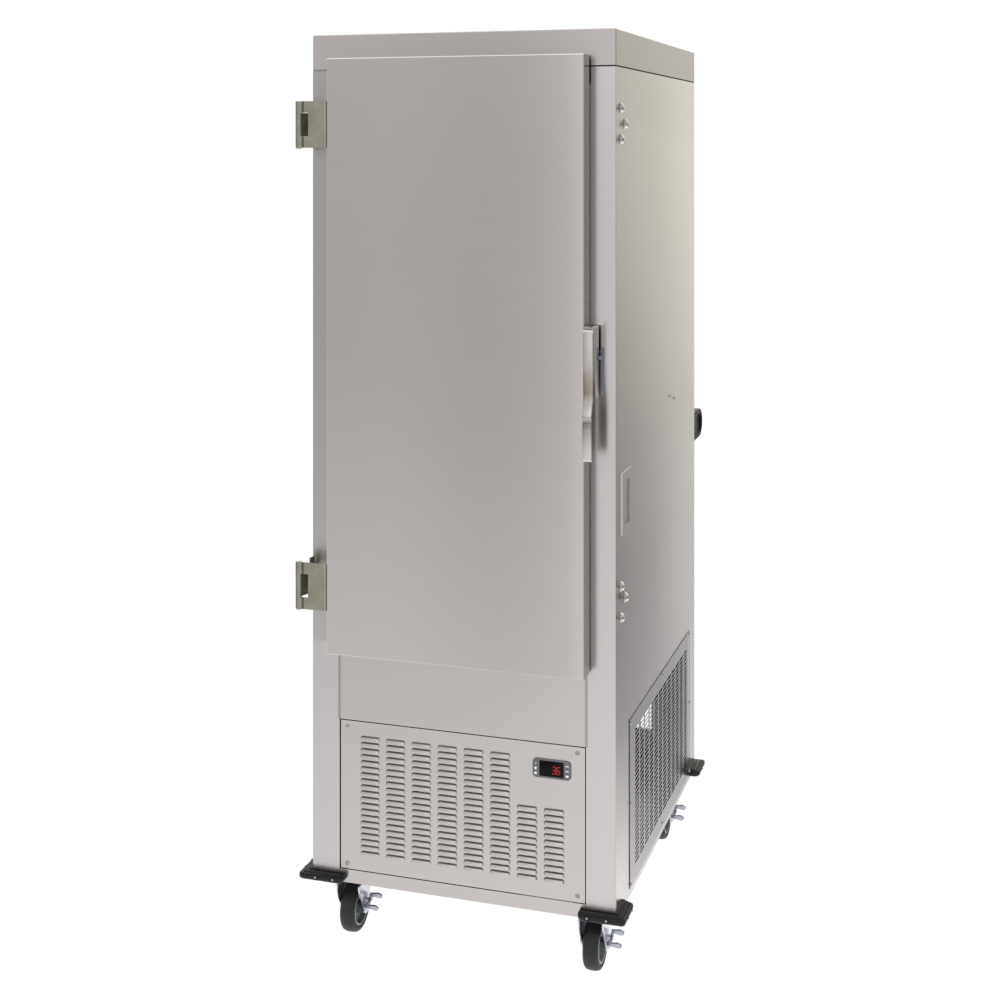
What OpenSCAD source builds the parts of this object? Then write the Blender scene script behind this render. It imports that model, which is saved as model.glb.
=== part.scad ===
// Mobile air curtain refrigerator: a stainless cabinet on four casters, with one overlay door.
// Millimetres, +Z up. X runs left to right as seen from the front, and the door faces -Y.
// The origin is on the floor, under the middle of the outer box.

/* [Cabinet] */
// Width over the side panels
body_w = 650; // [610:5:700]
// Depth of the cabinet without its door and push bar
body_d = 820; // [780:5:880]
// Height from the floor to the top of the cap
total_h = 1895; // [1820:5:1960]
// Height of the top cap
cap_h = 72; // [56:1:84]
// Open seam between the cap and the panels below it
cap_seam = 3; // [2:0.5:5]
// Thickness of the outer sheet
sheet_t = 1.5; // [1.2:0.1:2]
// Width of the stiles beside the door
stile_w = 61; // [55:1:68]
// Depth of the folded edges behind the front
fold_d = 14; // [12:0.5:18]
// Width of the folded rear edge of a side panel
rear_fold_w = 25; // [18:1:35]
// Width of the seat behind the service panel
seat_w = 28; // [24:1:34]
// Height of the front rail below the service panel
rail_h = 27; // [22:1:32]
// Height of the machine bay above the underside of the cabinet
bay_h = 455; // [430:5:480]
// Gap between sheet edges that meet
sheet_fit = 0.6; // [0.3:0.1:0.9]

/* [Insulated box] */
// Width of the plastic breaker strip round the opening
breaker_w = 20; // [18:1:24]
// Thickness of the liner sheet
liner_t = 1; // [0.8:0.1:1.5]
// Foam under the floor of the liner
floor_foam_t = 60.5; // [50:0.5:70]
// Distance from the top of the shell to the ceiling of the opening
ceiling_t = 60; // [50:1:70]
// Distance from the outer rear face to the back of the liner
rear_wall_t = 61.5; // [50:0.5:75]

/* [Door] */
// Thickness of the door pan
door_t = 40; // [36:1:46]
// Gap between the door pan and the cabinet that the gasket fills
gasket_d = 8.4; // [7:0.1:10]
// Overlap of the door over the opening at the sides
lap_side = 28.5; // [26:0.5:32]
// Overlap of the door below the opening
lap_bottom = 33; // [28:1:36]
// Overlap of the door above the opening
lap_top = 84; // [76:1:100]
// Thickness of the door's sheets
door_sheet_t = 1.2; // [1:0.1:1.6]
// Width of the folded edge at the back of the door
door_fold_w = 13; // [11:0.5:13.5]
// Distance from the edge of the door to the gasket
gasket_inset = 2.5; // [2:0.5:5]
// Distance from the opening to the gasket
gasket_clear = 3; // [2:0.5:5]
// Height of the raised field on the inside of the door
door_field_h = 5; // [3:0.5:6]
// Distance from the opening to the raised field
door_field_inset = 22; // [20:1:30]

/* [Hinges] */
// Height of a hinge
hinge_h = 96; // [84:2:110]
// Distance from an end of the door to the middle of its hinge
hinge_inset = 136; // [110:2:160]
// Height of the middle knuckle
knuckle_h = 48; // [40:2:54]
// Radius of the knuckles
knuckle_r = 6.5; // [6:0.1:7]
// Radius of the hinge pin
hinge_pin_r = 3; // [2.5:0.1:3.5]
// Distance from the side of the cabinet out to the pin
hinge_pin_out = 11.4; // [10.8:0.1:12.5]
// Distance from the face of the door back to the pin
hinge_pin_back = 3.9; // [3.4:0.1:4.4]
// Thickness of the leaves
leaf_t = 3; // [2.5:0.1:3.2]
// Reach of the cabinet leaf along the side
side_leaf_l = 95; // [88:1:110]
// Reach of the door leaf along the edge of the door
door_leaf_l = 34; // [26:1:38]
// Width of the notch beside the middle knuckle
notch_w = 16; // [12:0.5:18]
// Distance from the front to the outer screws of a hinge
screw_near = 36; // [32:1:40]
// Distance from the front to the middle screw of a hinge
screw_far = 72; // [64:1:78]
// Height from the middle screw to the outer ones
screw_rise = 31; // [26:1:34]
// Radius of the hinge screws' heads
hinge_head_r = 5.5; // [4.5:0.5:7]
// Height of the hinge screws' heads
hinge_head_h = 2.2; // [1.6:0.1:2.3]
// Radius of the hinge screws' shanks
hinge_shank_r = 2.5; // [2:0.1:3]
// Radius of the plugs in the spare hinge holes
plug_r = 11; // [9:0.2:12]
// Height of a plug's dome
plug_rise = 8.5; // [6:0.5:10]
// Radius of a plug's hole
plug_hole_r = 6.5; // [5:0.5:7.5]

/* [Latch] */
// Width of the latch housing on the edge of the door
latch_w = 20; // [18:1:22]
// Height of the latch housing
latch_h = 140; // [130:5:160]
// Height of the top of the latch above the floor of the opening
latch_top = 655; // [600:5:720]
// Depth of the latch housing
latch_d = 38; // [36:1:40]
// Thickness of the housing's walls
latch_wall = 2; // [1.6:0.1:2.4]
// Length of the lever
lever_h = 258; // [240:2:280]
// Thickness of the lever
lever_t = 5; // [4:0.5:6]
// How far the lever's nose stands out below the housing
lever_nose = 13; // [8:1:18]
// Radius of the lever's pin
lever_pin_r = 3; // [2.5:0.1:3.5]
// Height of the front corner cut off the foot of the housing
latch_cut_h = 54; // [44:1:64]
// Depth of the corner cut off the foot of the housing
latch_cut_d = 22; // [16:1:26]
// Height of the strike
strike_h = 88; // [76:1:100]
// Width of the strike plate
strike_w = 6.5; // [5.5:0.5:9]
// Thickness of the strike plate
strike_t = 3; // [2:0.5:4]
// Radius of the strike's bar
strike_bar_r = 3.5; // [3:0.1:4]

/* [Service panel] */
// Height of the service panel
panel_h = 307; // [290:1:320]
// Dark seam round the service panel
panel_seam = 2; // [1.5:0.1:3]
// Thickness of the service panel
panel_t = 1.2; // [1:0.1:1.5]
// Columns of louvres
louver_cols = 8; // [7:1:8]
// Rows of louvres in a full column
louver_rows = 20; // [16:1:21]
// Rows of louvres in the columns below the controller
louver_low_rows = 12; // [8:1:12]
// Distance between columns
louver_pitch_x = 56.3; // [54:0.1:58]
// Distance between rows
louver_pitch_z = 12.5; // [12:0.1:13]
// Length of a louvre
louver_l = 42.5; // [36:0.5:48]
// Height of a louvre
louver_h = 8; // [6:0.5:9]
// How far a louvre stands out
louver_out = 3.2; // [2:0.1:4.5]
// Distance from the side of the panel to the first column's middle
louver_margin = 66.5; // [62:0.5:70]
// Distance from the top of the panel to the first louvre's middle
louver_top = 32; // [28:1:36]
// Distance from the panel's sides to its corner screws
panel_screw_x = 15.6; // [13:0.2:18]
// Distance from the panel's top and bottom to its corner screws
panel_screw_z = 12; // [10:0.5:20]
// Radius of the panel screws' heads
panel_head_r = 4.8; // [4:0.1:5.5]
// Height of the panel screws' heads
panel_head_h = 2.4; // [1.8:0.1:3]
// Radius of the panel screws' shanks
panel_shank_r = 2; // [1.6:0.1:2.4]

/* [Controller] */
// Width of the controller's bezel
bezel_w = 80; // [76:1:84]
// Height of the controller's bezel
bezel_h = 38; // [36:1:42]
// How far the bezel stands out
bezel_out = 4; // [3:0.5:6]
// Depth of the controller behind the panel
controller_d = 58; // [45:1:65]
// Distance from the right side of the cabinet to the controller's middle
controller_in = 131; // [125:1:137]
// Distance from the top of the panel to the controller's middle
controller_drop = 49; // [44:1:56]
// Width of the display window
lens_w = 50; // [44:1:54]
// Height of the display window
lens_h = 28; // [24:1:30]
// Width of a key
key_w = 8; // [6:0.5:9]
// Height of a key
key_h = 6; // [5:0.5:8]
// Distance between keys
key_pitch = 9.6; // [9:0.1:10.5]
// How far a key stands out of the bezel
key_out = 1; // [0.8:0.1:1.5]
// Travel of a key
key_travel = 0.6; // [0.4:0.1:0.7]

/* [Side grille] */
// Distance from the front to the grille
grille_front = 116; // [100:1:130]
// Distance from the rear to the grille
grille_rear = 64; // [62:1:80]
// Distance from the underside of the cabinet to the grille
grille_lift = 14.5; // [12:0.5:26]
// Height of the grille
grille_h = 343.5; // [335:0.5:360]
// Thickness of the grille
grille_t = 1.5; // [1:0.1:2]
// Columns of slots
slot_cols = 12; // [10:1:13]
// Rows of slots
slot_rows = 30; // [24:1:31]
// Distance between columns of slots
slot_pitch_y = 46.6; // [45:0.1:48]
// Distance between rows of slots
slot_pitch_z = 9.4; // [9:0.1:9.8]
// Length of a slot
slot_l = 36; // [30:0.5:40]
// Height of a slot
slot_h = 4.7; // [3.5:0.1:5.5]
// Overlap of the grille over its opening
grille_lap = 14; // [12:0.5:18]

/* [Side fittings] */
// Distance from the front to the card holder
card_front = 46; // [30:1:60]
// Length of the card holder
card_l = 80; // [70:1:110]
// Height of the card holder
card_h = 124; // [110:1:150]
// Height from the floor of the opening to the card holder
card_lift = 232; // [215:1:300]
// Depth of the card slot
card_gap = 1.5; // [1:0.5:3]
// Thickness of the card holder
card_t = 1.2; // [1:0.1:1.6]
// Height of the bumpers
bumper_h = 16; // [14:1:20]
// How far the bumpers stand out
bumper_out = 22.5; // [20:0.5:28]
// Length of a bumper along the front and the rear
bumper_leg = 75; // [64:1:90]
// Length of a bumper along the sides
bumper_side_leg = 62; // [56:1:76]
// Height of the bumpers above the underside of the cabinet
bumper_lift = 3; // [2:1:6]

/* [Rear] */
// Height of the push bar's middle above the floor
push_z = 975; // [900:5:1050]
// Height of a push bar bracket
push_bracket_h = 69; // [60:1:84]
// Depth of a push bar bracket behind the cabinet
push_bracket_d = 108; // [100:2:124]
// Thickness of a push bar bracket
push_bracket_t = 20; // [16:1:26]
// Diameter of the push bar
push_bar_d = 32; // [26:1:36]
// Distance from the cabinet to the middle of the push bar
push_bar_out = 72; // [66:1:76]
// Width of the rear opening of the machine bay
vent_w = 438; // [400:2:460]
// Height of the rear opening
vent_h = 336; // [300:2:346]
// Height of the rear opening above the underside of the cabinet
vent_lift = 87; // [70:1:96]
// Diameter of the rear guard's wires
wire_d = 5; // [4:0.5:6]
// Distance between the wires
wire_pitch = 42; // [34:1:60]

/* [Interior] */
// Depth of the air duct behind the baffle
duct_d = 70; // [66:1:90]
// Height of the duct under the ceiling
ceiling_duct_h = 46; // [36:1:60]
// Thickness of the duct's sheets
duct_t = 1; // [0.8:0.1:1.5]
// Number of pairs of tray slides
slide_pairs = 10; // [6:1:11]
// Distance between tray slides
slide_pitch = 92; // [76:1:95]
// Width of a tray slide's shelf
slide_shelf = 18; // [14:1:22]
// Height of a tray slide's side
slide_side = 18; // [14:1:24]
// Depth of the uprights that carry the slides
upright_d = 11; // [9:1:13]
// Width of the uprights
upright_w = 24; // [18:1:30]
// Radius of the evaporator fan
evap_fan_r = 72; // [60:1:80]
// Size of the evaporator coil, width
evap_w = 380; // [320:5:400]
// Size of the evaporator coil, height
evap_h = 260; // [220:5:300]

/* [Machine bay] */
// Radius of the condenser fan
fan_r = 118; // [100:1:125]
// Width of the condenser coil
coil_w = 330; // [300:5:345]
// Height of the condenser coil
coil_h = 290; // [260:5:310]
// Depth of the condenser coil
coil_d = 60; // [50:1:66]
// Distance from the front to the condenser coil
coil_back = 74; // [70:1:80]
// Radius of the compressor's shell
comp_r = 78; // [70:1:86]
// Height of the compressor's shell
comp_h = 190; // [165:5:205]
// Radius of the copper lines
line_r = 5; // [4:0.5:6]

/* [Casters] */
// Height of a caster from the floor to the cabinet
caster_h = 137; // [134:1:142]
// Diameter of a wheel
wheel_d = 101.6; // [98:0.1:103]
// Width of a tyre
wheel_w = 32; // [28:1:36]
// Distance from the cabinet's sides to the swivels
caster_in = 62; // [60:1:70]
// Distance from the front to the front swivels
caster_front = 113; // [100:1:130]
// Distance from the rear to the rear swivels
caster_rear = 64; // [60:1:90]
// Distance from a swivel to its axle
caster_trail = 33; // [28:1:36]
// Thickness of the fork
fork_t = 3.2; // [2.5:0.1:3.4]
// Gap between the tyre and each side of the fork
fork_gap = 7.3; // [5:0.1:8]
// Radius of the kingpin
kingpin_r = 6; // [5:0.1:7]
// Radius of the axle
axle_r = 5; // [4:0.1:5.5]
// Length of a brake tab
tab_l = 28; // [20:1:30]

/* [Hidden] */
$fn = 48;
// Radial clearance of a pin that turns in its bore
run_fit = 0.05;
// Radial clearance of a screw in its hole
screw_fit = 0.1;
// Gap at a seat between two pieces that move apart
seat_gap = 0.3;
// Overshoot of a cutting shape
cut = 1;
steel = [0.72, 0.71, 0.70];
dark_plastic = [0.09, 0.09, 0.10];
zinc = [0.75, 0.76, 0.80];
copper = [0.72, 0.45, 0.30];
white_plastic = [0.86, 0.87, 0.88];

// Controller: overlap of the bezel over its cutout
bezel_lap = 4.5;
// Latch: radius of the lever's eye, inset of the housing, and places of the strike below the latch's top
lever_eye_r = 5;
latch_inset = 2;
strike_bar_drop = 62;
strike_drop = 43;
strike_room = 2;
// Room round the evaporator fan, and ends and first level of the tray slides
evap_margin = 34;
slide_front = 22;
slide_rear = 10;
slide_first = 40;
// Places of the condenser coil, its fan and the compressor
coil_in = 18;
coil_lift = 32;
fan_room = 12;
comp_back = 120;
// Casters: room over the tyre, and place of the brake by the axle
tyre_room = 5;
brake_fore = 2;
brake_rise = 14;

half_w = body_w / 2;
inner_hw = half_w - sheet_t;
shell_top = total_h - cap_h - cap_seam;
bay_z0 = caster_h + sheet_t;
rail_top = caster_h + rail_h;
panel_z0 = rail_top + panel_seam;
panel_z1 = panel_z0 + panel_h;
apron_z0 = panel_z1 + panel_seam;
stile_edge = half_w - stile_w;
panel_hw = stile_edge - panel_seam;
deck_z = caster_h + bay_h;
foam_z0 = deck_z + sheet_t;
open_hw = stile_edge - breaker_w;
open_z0 = foam_z0 + floor_foam_t + liner_t;
open_z1 = shell_top - ceiling_t;
open_h = open_z1 - open_z0;
rear_in = body_d - sheet_t;
liner_y1 = body_d - rear_wall_t;

door_hw = open_hw + lap_side;
door_z0 = open_z0 - lap_bottom;
door_z1 = open_z1 + lap_top;
door_back = -gasket_d;
gasket_w = lap_side - gasket_inset - gasket_clear;
door_face = door_back - door_t;
field_hw = open_hw - door_field_inset;
pin_x = -half_w - hinge_pin_out;
pin_y = door_face + hinge_pin_back;
hinge_heights = [door_z0 + hinge_inset, door_z1 - hinge_inset];
hinge_screw_spots = [[screw_near, screw_rise], [screw_far, 0], [screw_near, -screw_rise]];

latch_x0 = door_hw;
latch_x1 = door_hw + latch_w;
latch_z1 = open_z0 + latch_top;
latch_z0 = latch_z1 - latch_h;
latch_y1 = door_back - latch_inset;
latch_y0 = latch_y1 - latch_d;
lever_y0 = latch_y0 - seat_gap - lever_t;
lever_x0 = latch_x0 + latch_wall + seat_gap;
lever_x1 = latch_x1 - latch_wall - seat_gap;
lever_pin_y = lever_y0 + lever_t / 2;
lever_pin_z = latch_z1 - lever_eye_r - 1;
strike_bar_y = -14;
strike_bar_z = latch_z1 - strike_bar_drop;
strike_z1 = latch_z1 - strike_drop;
strike_x0 = latch_x1 + strike_room;

louver_cell_x0 = -panel_hw + louver_margin;
louver_z_top = panel_z1 - louver_top;
controller_x = half_w - controller_in;
controller_z = panel_z1 - controller_drop;
cutout_w = bezel_w - 2 * bezel_lap;
cutout_h = bezel_h - 2 * bezel_lap;
key_x = lens_w / 2 + (bezel_w - lens_w) / 4;

grille_l = body_d - grille_front - grille_rear;
grille_z0 = caster_h + grille_lift;
vent_z0 = caster_h + vent_lift;
vent_z1 = vent_z0 + vent_h;
card_z0 = open_z0 + card_lift;
bumper_z0 = caster_h + bumper_lift;

duct_y = liner_y1 - liner_t - duct_d;
duct_z = open_z1 - ceiling_duct_h;
evap_fan_z = open_z0 + evap_fan_r + evap_margin;
slide_hw = open_hw - upright_d;
slide_y0 = fold_d + slide_front;
slide_y1 = duct_y - slide_rear;
slide_z0 = open_z0 + slide_first;

coil_x0 = -stile_edge + coil_in;
coil_z0 = bay_z0 + coil_lift;
shroud_y = coil_back + coil_d;
shroud_d = 46;
fan_x = coil_x0 + coil_w / 2;
fan_z = coil_z0 + coil_h / 2;
fan_y = shroud_y + fan_room;
comp_x = -140;
comp_y = rear_in - comp_r - comp_back;
axle_z = wheel_d / 2;
fork_in = wheel_w / 2 + fork_gap;
fork_out = fork_in + fork_t;
crown_z0 = wheel_d + tyre_room;
crown_z1 = crown_z0 + fork_t;
plate_t = 2.6;
brake_y = -caster_trail + brake_fore;
brake_z = axle_z + brake_rise;

// Screws of the service panel, of the side grille and of the right side
panel_screw_spots = [for (x = [-1, 1], z = [panel_z0 + panel_screw_z, panel_z1 - panel_screw_z])
    [x * (panel_hw - panel_screw_x), z]];
grille_edge = 7;
grille_screw_spots = [for (y = [0, 0.5, 1], z = [0, 0.5, 1]) if (y != 0.5 || z != 0.5)
    [grille_front + grille_edge + y * (grille_l - 2 * grille_edge),
        grille_z0 + grille_edge + z * (grille_h - 2 * grille_edge)]];
side_screw_back = 298;
side_screw_rise = 440;
side_screw_apart = 45;
side_screw_fall = 11;
side_screw = [body_d - side_screw_back, open_z0 + side_screw_rise];
side_screw_spots = [side_screw, side_screw + [side_screw_apart, -side_screw_fall]];
// Louvres: the columns below the controller stay short
louver_full_cols = 6;
louver_spots = [for (c = [0:louver_cols - 1], r = [0:louver_rows - 1])
    if (c < louver_full_cols || r >= louver_rows - louver_low_rows)
        [louver_cell_x0 + c * louver_pitch_x, louver_z_top - r * louver_pitch_z]];
louver_lip = 1;

// Folded edge of the cap, and the inset of the dark strip under it
cap_fold_w = 20;
cap_inset = 8;
// Channels over the casters
channel_w = 50;
channel_h = 25;
channel_t = 2;
// Pads of the service panel's folded edge
seat_pad = 16;
// Room behind the plugs and the small side screws
plug_stem = 8;
screw_end = 4;
// Overlap of the rear guard's frame over its opening
guard_lap = 12;
// Cable gland at the rear
inlet_x = 190;
inlet_lift = 45;
inlet_z = caster_h + inlet_lift;
gland_r = 9;

// Bumpers: step of the top, ledge along the cabinet, screws and corners
bumper_step = 3;
bumper_ledge = 2;
bumper_ledge_w = 8;
bumper_head_r = 3.4;
bumper_head_h = 1.4;
bumper_screw_spots = [0.72, 0.2];
bumper_corners = [[-1, 0], [-1, 1], [1, 0], [1, 1]];
bumper_relief = 0.5;
// Controller: corners, lens and keys
bezel_corner = 3;
lens_t = 1.5;
lens_proud = 0.2;
key_fit = 0.2;
key_seat = 1.2;
key_corner = 1.4;
// Hinges: front end of the cabinet leaf, run of its neck and height of the pin's head
leaf_front = -10;
neck_run = 8;
pin_head_h = 2;
// Card holder's rim, and the push bar's socket, wall, recess and rim
card_rim = 18;
push_socket = 8;
push_bar_t = 2;
push_recess = 2;
push_rim = 9;
// Raised field of the door
field_z = [open_z0 + door_field_inset, open_z1 - door_field_inset];
// Latch: the lever's hollow and arm, levels of its bends as parts of its height, and the strike's ear
lever_dip = 3;
lever_bends = [0.24, 0.32, 0.52, 0.60, 0.66, 1];
arm_h = 12;
bar_room = 1.5;
ear_t = 4;
// Compressor: feet, base plate, terminal cover and the places of its lines
comp_foot_h = 12;
comp_foot_r = 11;
comp_foot_in = 14;
comp_plate_t = 4;
comp_cover = [34, 48, 56];
comp_cover_in = 8;
comp_line_x = 30;
comp_line_y = 20;
comp_line_in = 16;
coil_line_out = 22;
coil_line_drop = 40;
coil_line_x = coil_x0 + coil_w + coil_line_out;
coil_line_z = coil_z0 + coil_h - coil_line_drop;
// Coils: fins, tube rows, tube ends, depth and place of the evaporator
coil_fins = 30;
coil_tubes = 7;
evap_fins = 32;
evap_tubes = 6;
fin_t = 1.2;
tube_rows = [0.28, 0.72];
tube_end = 12;
evap_d = 50;
evap_z0 = evap_fan_z + evap_fan_r + evap_margin;
// Fans: motors as radius and length, hubs as radius and depth, shafts, arms and blades
motor_size = [34, 46];
evap_motor_size = [24, 28];
rotor_size = [30, 16];
evap_rotor_size = [20, 14];
fan_blades = 5;
blade_pitch = 24;
blade_root = 3;
arm_root = 4;
evap_motor_gap = 26;
spider_arms = [90, 210, 330];
shaft_r = 4;
arm_t = 4;
fan_tip = 5;
blade_t = 2.4;
leg_w = 24;
evap_gap = 8;
// Air duct: opening of the return, its front and the slots of the curtain
return_h = 26;
duct_front = fold_d + 6;
curtain_slots = 16;
curtain_slot_l = 20;
curtain_slot_w = 12;
curtain_y = duct_front + 12;
curtain_pitch = (2 * open_hw - 40) / curtain_slots;
function curtain_x(i) = (i - (curtain_slots - 1) / 2) * curtain_pitch;
// Tray slides: sheet, clearance to the uprights and places of the uprights
slide_t = 1.5;
slide_fit = 0.1;
upright_in = 70;
upright_over = 12;
// Casters: plate, turret, kingpin, bolts, hub, axle boss and brake
front_row = caster_front;
rear_row = body_d - caster_rear;
plate_l = 92;
plate_w = 70;
turret_r = 24;
turret_z = crown_z1 + 8;
kingpin_head_h = 3;
kingpin_lap = 3;
bolt_r = 6;
bolt_h = 5;
bolt_in = 9;
crown_lap = 8;
leg_root = 4;
boss_r = 12;
axle_end = 5;
axle_head_r = 7.5;
axle_head_h = 4;
hub_r = 37;
hub_step = 2;
hub_web = 8;
hub_lap = 7;
tyre_edge = 1.5;
tyre_shoulder = 5;
tyre_crown = 1.2;
tyre_side = 0.9;
tread_half = 0.35;
stud_r = 3.5;
stud_root = 2.5;
stud_lap = 2;
brake_off = 5;
brake_t = 3;
brake_half = 15;
brake_w = 14;
brake_tilt = 37;

front_reach = -min(lever_y0 - lever_nose, door_face);
rear_reach = body_d + push_bracket_d;
shift_y = (front_reach - rear_reach) / 2;

// Block between two corners, given as ranges along X, Y and Z
module slab(x, y, z) {
    translate([x[0], y[0], z[0]]) cube([x[1] - x[0], y[1] - y[0], z[1] - z[0]]);
}

// Round bars along X, Y and Z, from a start point
module bar_x(p, r, l) {
    translate(p) rotate([0, 90, 0]) cylinder(r = r, h = l);
}

module bar_y(p, r, l) {
    translate(p) rotate([-90, 0, 0]) cylinder(r = r, h = l);
}

module bar_z(p, r, l) {
    translate(p) cylinder(r = r, h = l);
}

// Outline drawn in X and Z, made t thick from y0 towards the rear
module plate_xz(y0, t) {
    translate([0, y0 + t, 0]) rotate([90, 0, 0]) linear_extrude(t) children();
}

// Outline drawn in Y and Z, made t thick from x0 towards the right
module plate_yz(x0, t) {
    translate([x0, 0, 0]) rotate([90, 0, 90]) linear_extrude(t) children();
}

// Rectangle between two corners of an outline
module area(a, b) {
    translate([a[0], b[0]]) square([a[1] - a[0], b[1] - b[0]]);
}

// Frame between an outer and an inner rectangle, both centred on x = 0
module ring_area(outer_hw, outer_z, inner_hw, inner_z) {
    difference() {
        area([-outer_hw, outer_hw], outer_z);
        area([-inner_hw, inner_hw], inner_z);
    }
}

// Moves the cabinet so that the origin lies under the middle of the outer box
module placed() {
    translate([0, shift_y, 0]) children();
}

// The same thing on the left and on the right
module both_sides() {
    children();
    mirror([1, 0, 0]) children();
}

// Side panel of the right side: side, stile, rear edge and the seat of the service panel
module side_shell() {
    z = [caster_h, shell_top];
    slab([inner_hw, half_w], [0, body_d], z);
    slab([stile_edge, half_w], [0, sheet_t], z);
    slab([stile_edge, stile_edge + sheet_t], [0, fold_d], z);
    slab([half_w - rear_fold_w, half_w], [rear_in, body_d], z);
    slab([stile_edge - seat_w, stile_edge + sheet_t], [fold_d - sheet_t, fold_d], [rail_top, apron_z0]);
}

// Holes for the two panel screws on the right seat
module seat_holes() {
    for (p = panel_screw_spots) if (p[0] > 0)
        bar_y([p[0], 0, p[1]], panel_shank_r + screw_fit, fold_d + cut);
}

module side_panel_left() color(steel) placed() {
    difference() {
        mirror([1, 0, 0]) side_shell();
        mirror([1, 0, 0]) seat_holes();
        for (h = hinge_heights, s = hinge_screw_spots)
            bar_x([-half_w - cut, s[0], h + s[1]], hinge_shank_r + screw_fit, sheet_t + 2 * cut);
    }
}

module side_panel_right() color(steel) placed() {
    difference() {
        side_shell();
        seat_holes();
        slab([inner_hw - cut, half_w + cut],
            [grille_front + grille_lap, grille_front + grille_l - grille_lap],
            [grille_z0 + grille_lap, grille_z0 + grille_h - grille_lap]);
        for (h = hinge_heights, s = hinge_screw_spots)
            bar_x([inner_hw - cut, s[0], h + s[1]], plug_hole_r + screw_fit, sheet_t + 2 * cut);
        for (p = concat(grille_screw_spots, side_screw_spots))
            bar_x([inner_hw - cut, p[0], p[1]], panel_shank_r + screw_fit, sheet_t + 2 * cut);
    }
}

module top_cap() color(steel) placed() {
    z0 = shell_top + cap_seam;
    difference() {
        slab([-half_w, half_w], [0, body_d], [z0, total_h]);
        slab([-inner_hw, inner_hw], [sheet_t, rear_in], [z0 + sheet_t, total_h - sheet_t]);
        slab([-half_w + cap_fold_w, half_w - cap_fold_w], [cap_fold_w, body_d - cap_fold_w],
            [z0 - cut, z0 + sheet_t + cut]);
    }
}

module cap_gasket() color(dark_plastic) placed() {
    translate([0, 0, shell_top]) linear_extrude(cap_seam) difference() {
        area([-half_w + cap_inset, half_w - cap_inset], [cap_inset, body_d - cap_inset]);
        area([-half_w + cap_fold_w, half_w - cap_fold_w], [cap_fold_w, body_d - cap_fold_w]);
    }
}

module rear_panel() color(steel) placed() {
    hw = half_w - rear_fold_w - sheet_fit;
    plate_xz(rear_in, sheet_t) difference() {
        area([-hw, hw], [caster_h, shell_top]);
        area([-vent_w / 2, vent_w / 2], [vent_z0, vent_z1]);
        translate([-inlet_x, inlet_z]) circle(gland_r);
    }
}

// Header above the opening and apron below it, folded back along their edges
module front_frame() color(steel) placed() {
    hw = stile_edge - sheet_fit;
    for (z = [[apron_z0, open_z0 - breaker_w], [open_z1 + breaker_w, shell_top]]) difference() {
        slab([-hw, hw], [0, fold_d], z);
        slab([-hw + sheet_t, hw - sheet_t], [sheet_t, fold_d + cut], [z[0] + sheet_t, z[1] - sheet_t]);
    }
}

// Floor of the machine bay with its front rail and two channels over the casters
module base_frame() color(steel) placed() {
    hw = stile_edge - sheet_fit;
    slab([-inner_hw, inner_hw], [fold_d, rear_in], [caster_h, bay_z0]);
    slab([-hw, hw], [0, fold_d], [caster_h, bay_z0]);
    slab([-hw, hw], [0, sheet_t], [caster_h, rail_top]);
    slab([-hw, hw], [0, fold_d - 2 * sheet_t], [rail_top - sheet_t, rail_top]);
    for (y = [front_row, rear_row]) difference() {
        slab([-inner_hw, inner_hw], [y - channel_w / 2, y + channel_w / 2], [bay_z0, bay_z0 + channel_h]);
        slab([-half_w, half_w], [y - channel_w / 2 + channel_t, y + channel_w / 2 - channel_t],
            [bay_z0 - cut, bay_z0 + channel_h - channel_t]);
    }
}

module machine_deck() color(steel) placed() {
    slab([-inner_hw, inner_hw], [fold_d, rear_in], [deck_z, foam_z0]);
}

module liner() color(steel) placed() {
    hw = open_hw + liner_t;
    difference() {
        slab([-hw, hw], [fold_d, liner_y1], [open_z0 - liner_t, open_z1 + liner_t]);
        slab([-open_hw, open_hw], [fold_d - cut, liner_y1 - liner_t], [open_z0, open_z1]);
    }
}

module foam_insulation() color("khaki") placed() {
    hw = open_hw + liner_t;
    difference() {
        slab([-inner_hw, inner_hw], [fold_d, rear_in], [foam_z0, shell_top]);
        slab([-hw, hw], [fold_d - cut, liner_y1], [open_z0 - liner_t, open_z1 + liner_t]);
        for (h = hinge_heights, s = hinge_screw_spots)
            bar_x([inner_hw - plug_stem, s[0], h + s[1]], plug_hole_r + cut, plug_stem + cut);
        for (p = side_screw_spots)
            bar_x([inner_hw - screw_end, p[0], p[1]], panel_shank_r + cut, screw_end + cut);
    }
}

module breaker_frame() color(white_plastic) placed() {
    plate_xz(0, fold_d)
        ring_area(stile_edge, [open_z0 - breaker_w, open_z1 + breaker_w], open_hw, [open_z0, open_z1]);
}

// Section of a louvre: the sheet lanced out below and left joined above
function louver_section() = [
    [0, louver_h / 2], [-louver_out, -louver_h / 2 + louver_lip], [-louver_out, -louver_h / 2],
    [-louver_out + panel_t, -louver_h / 2], [panel_t, louver_h / 2 - panel_t], [panel_t, louver_h / 2]];

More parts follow.
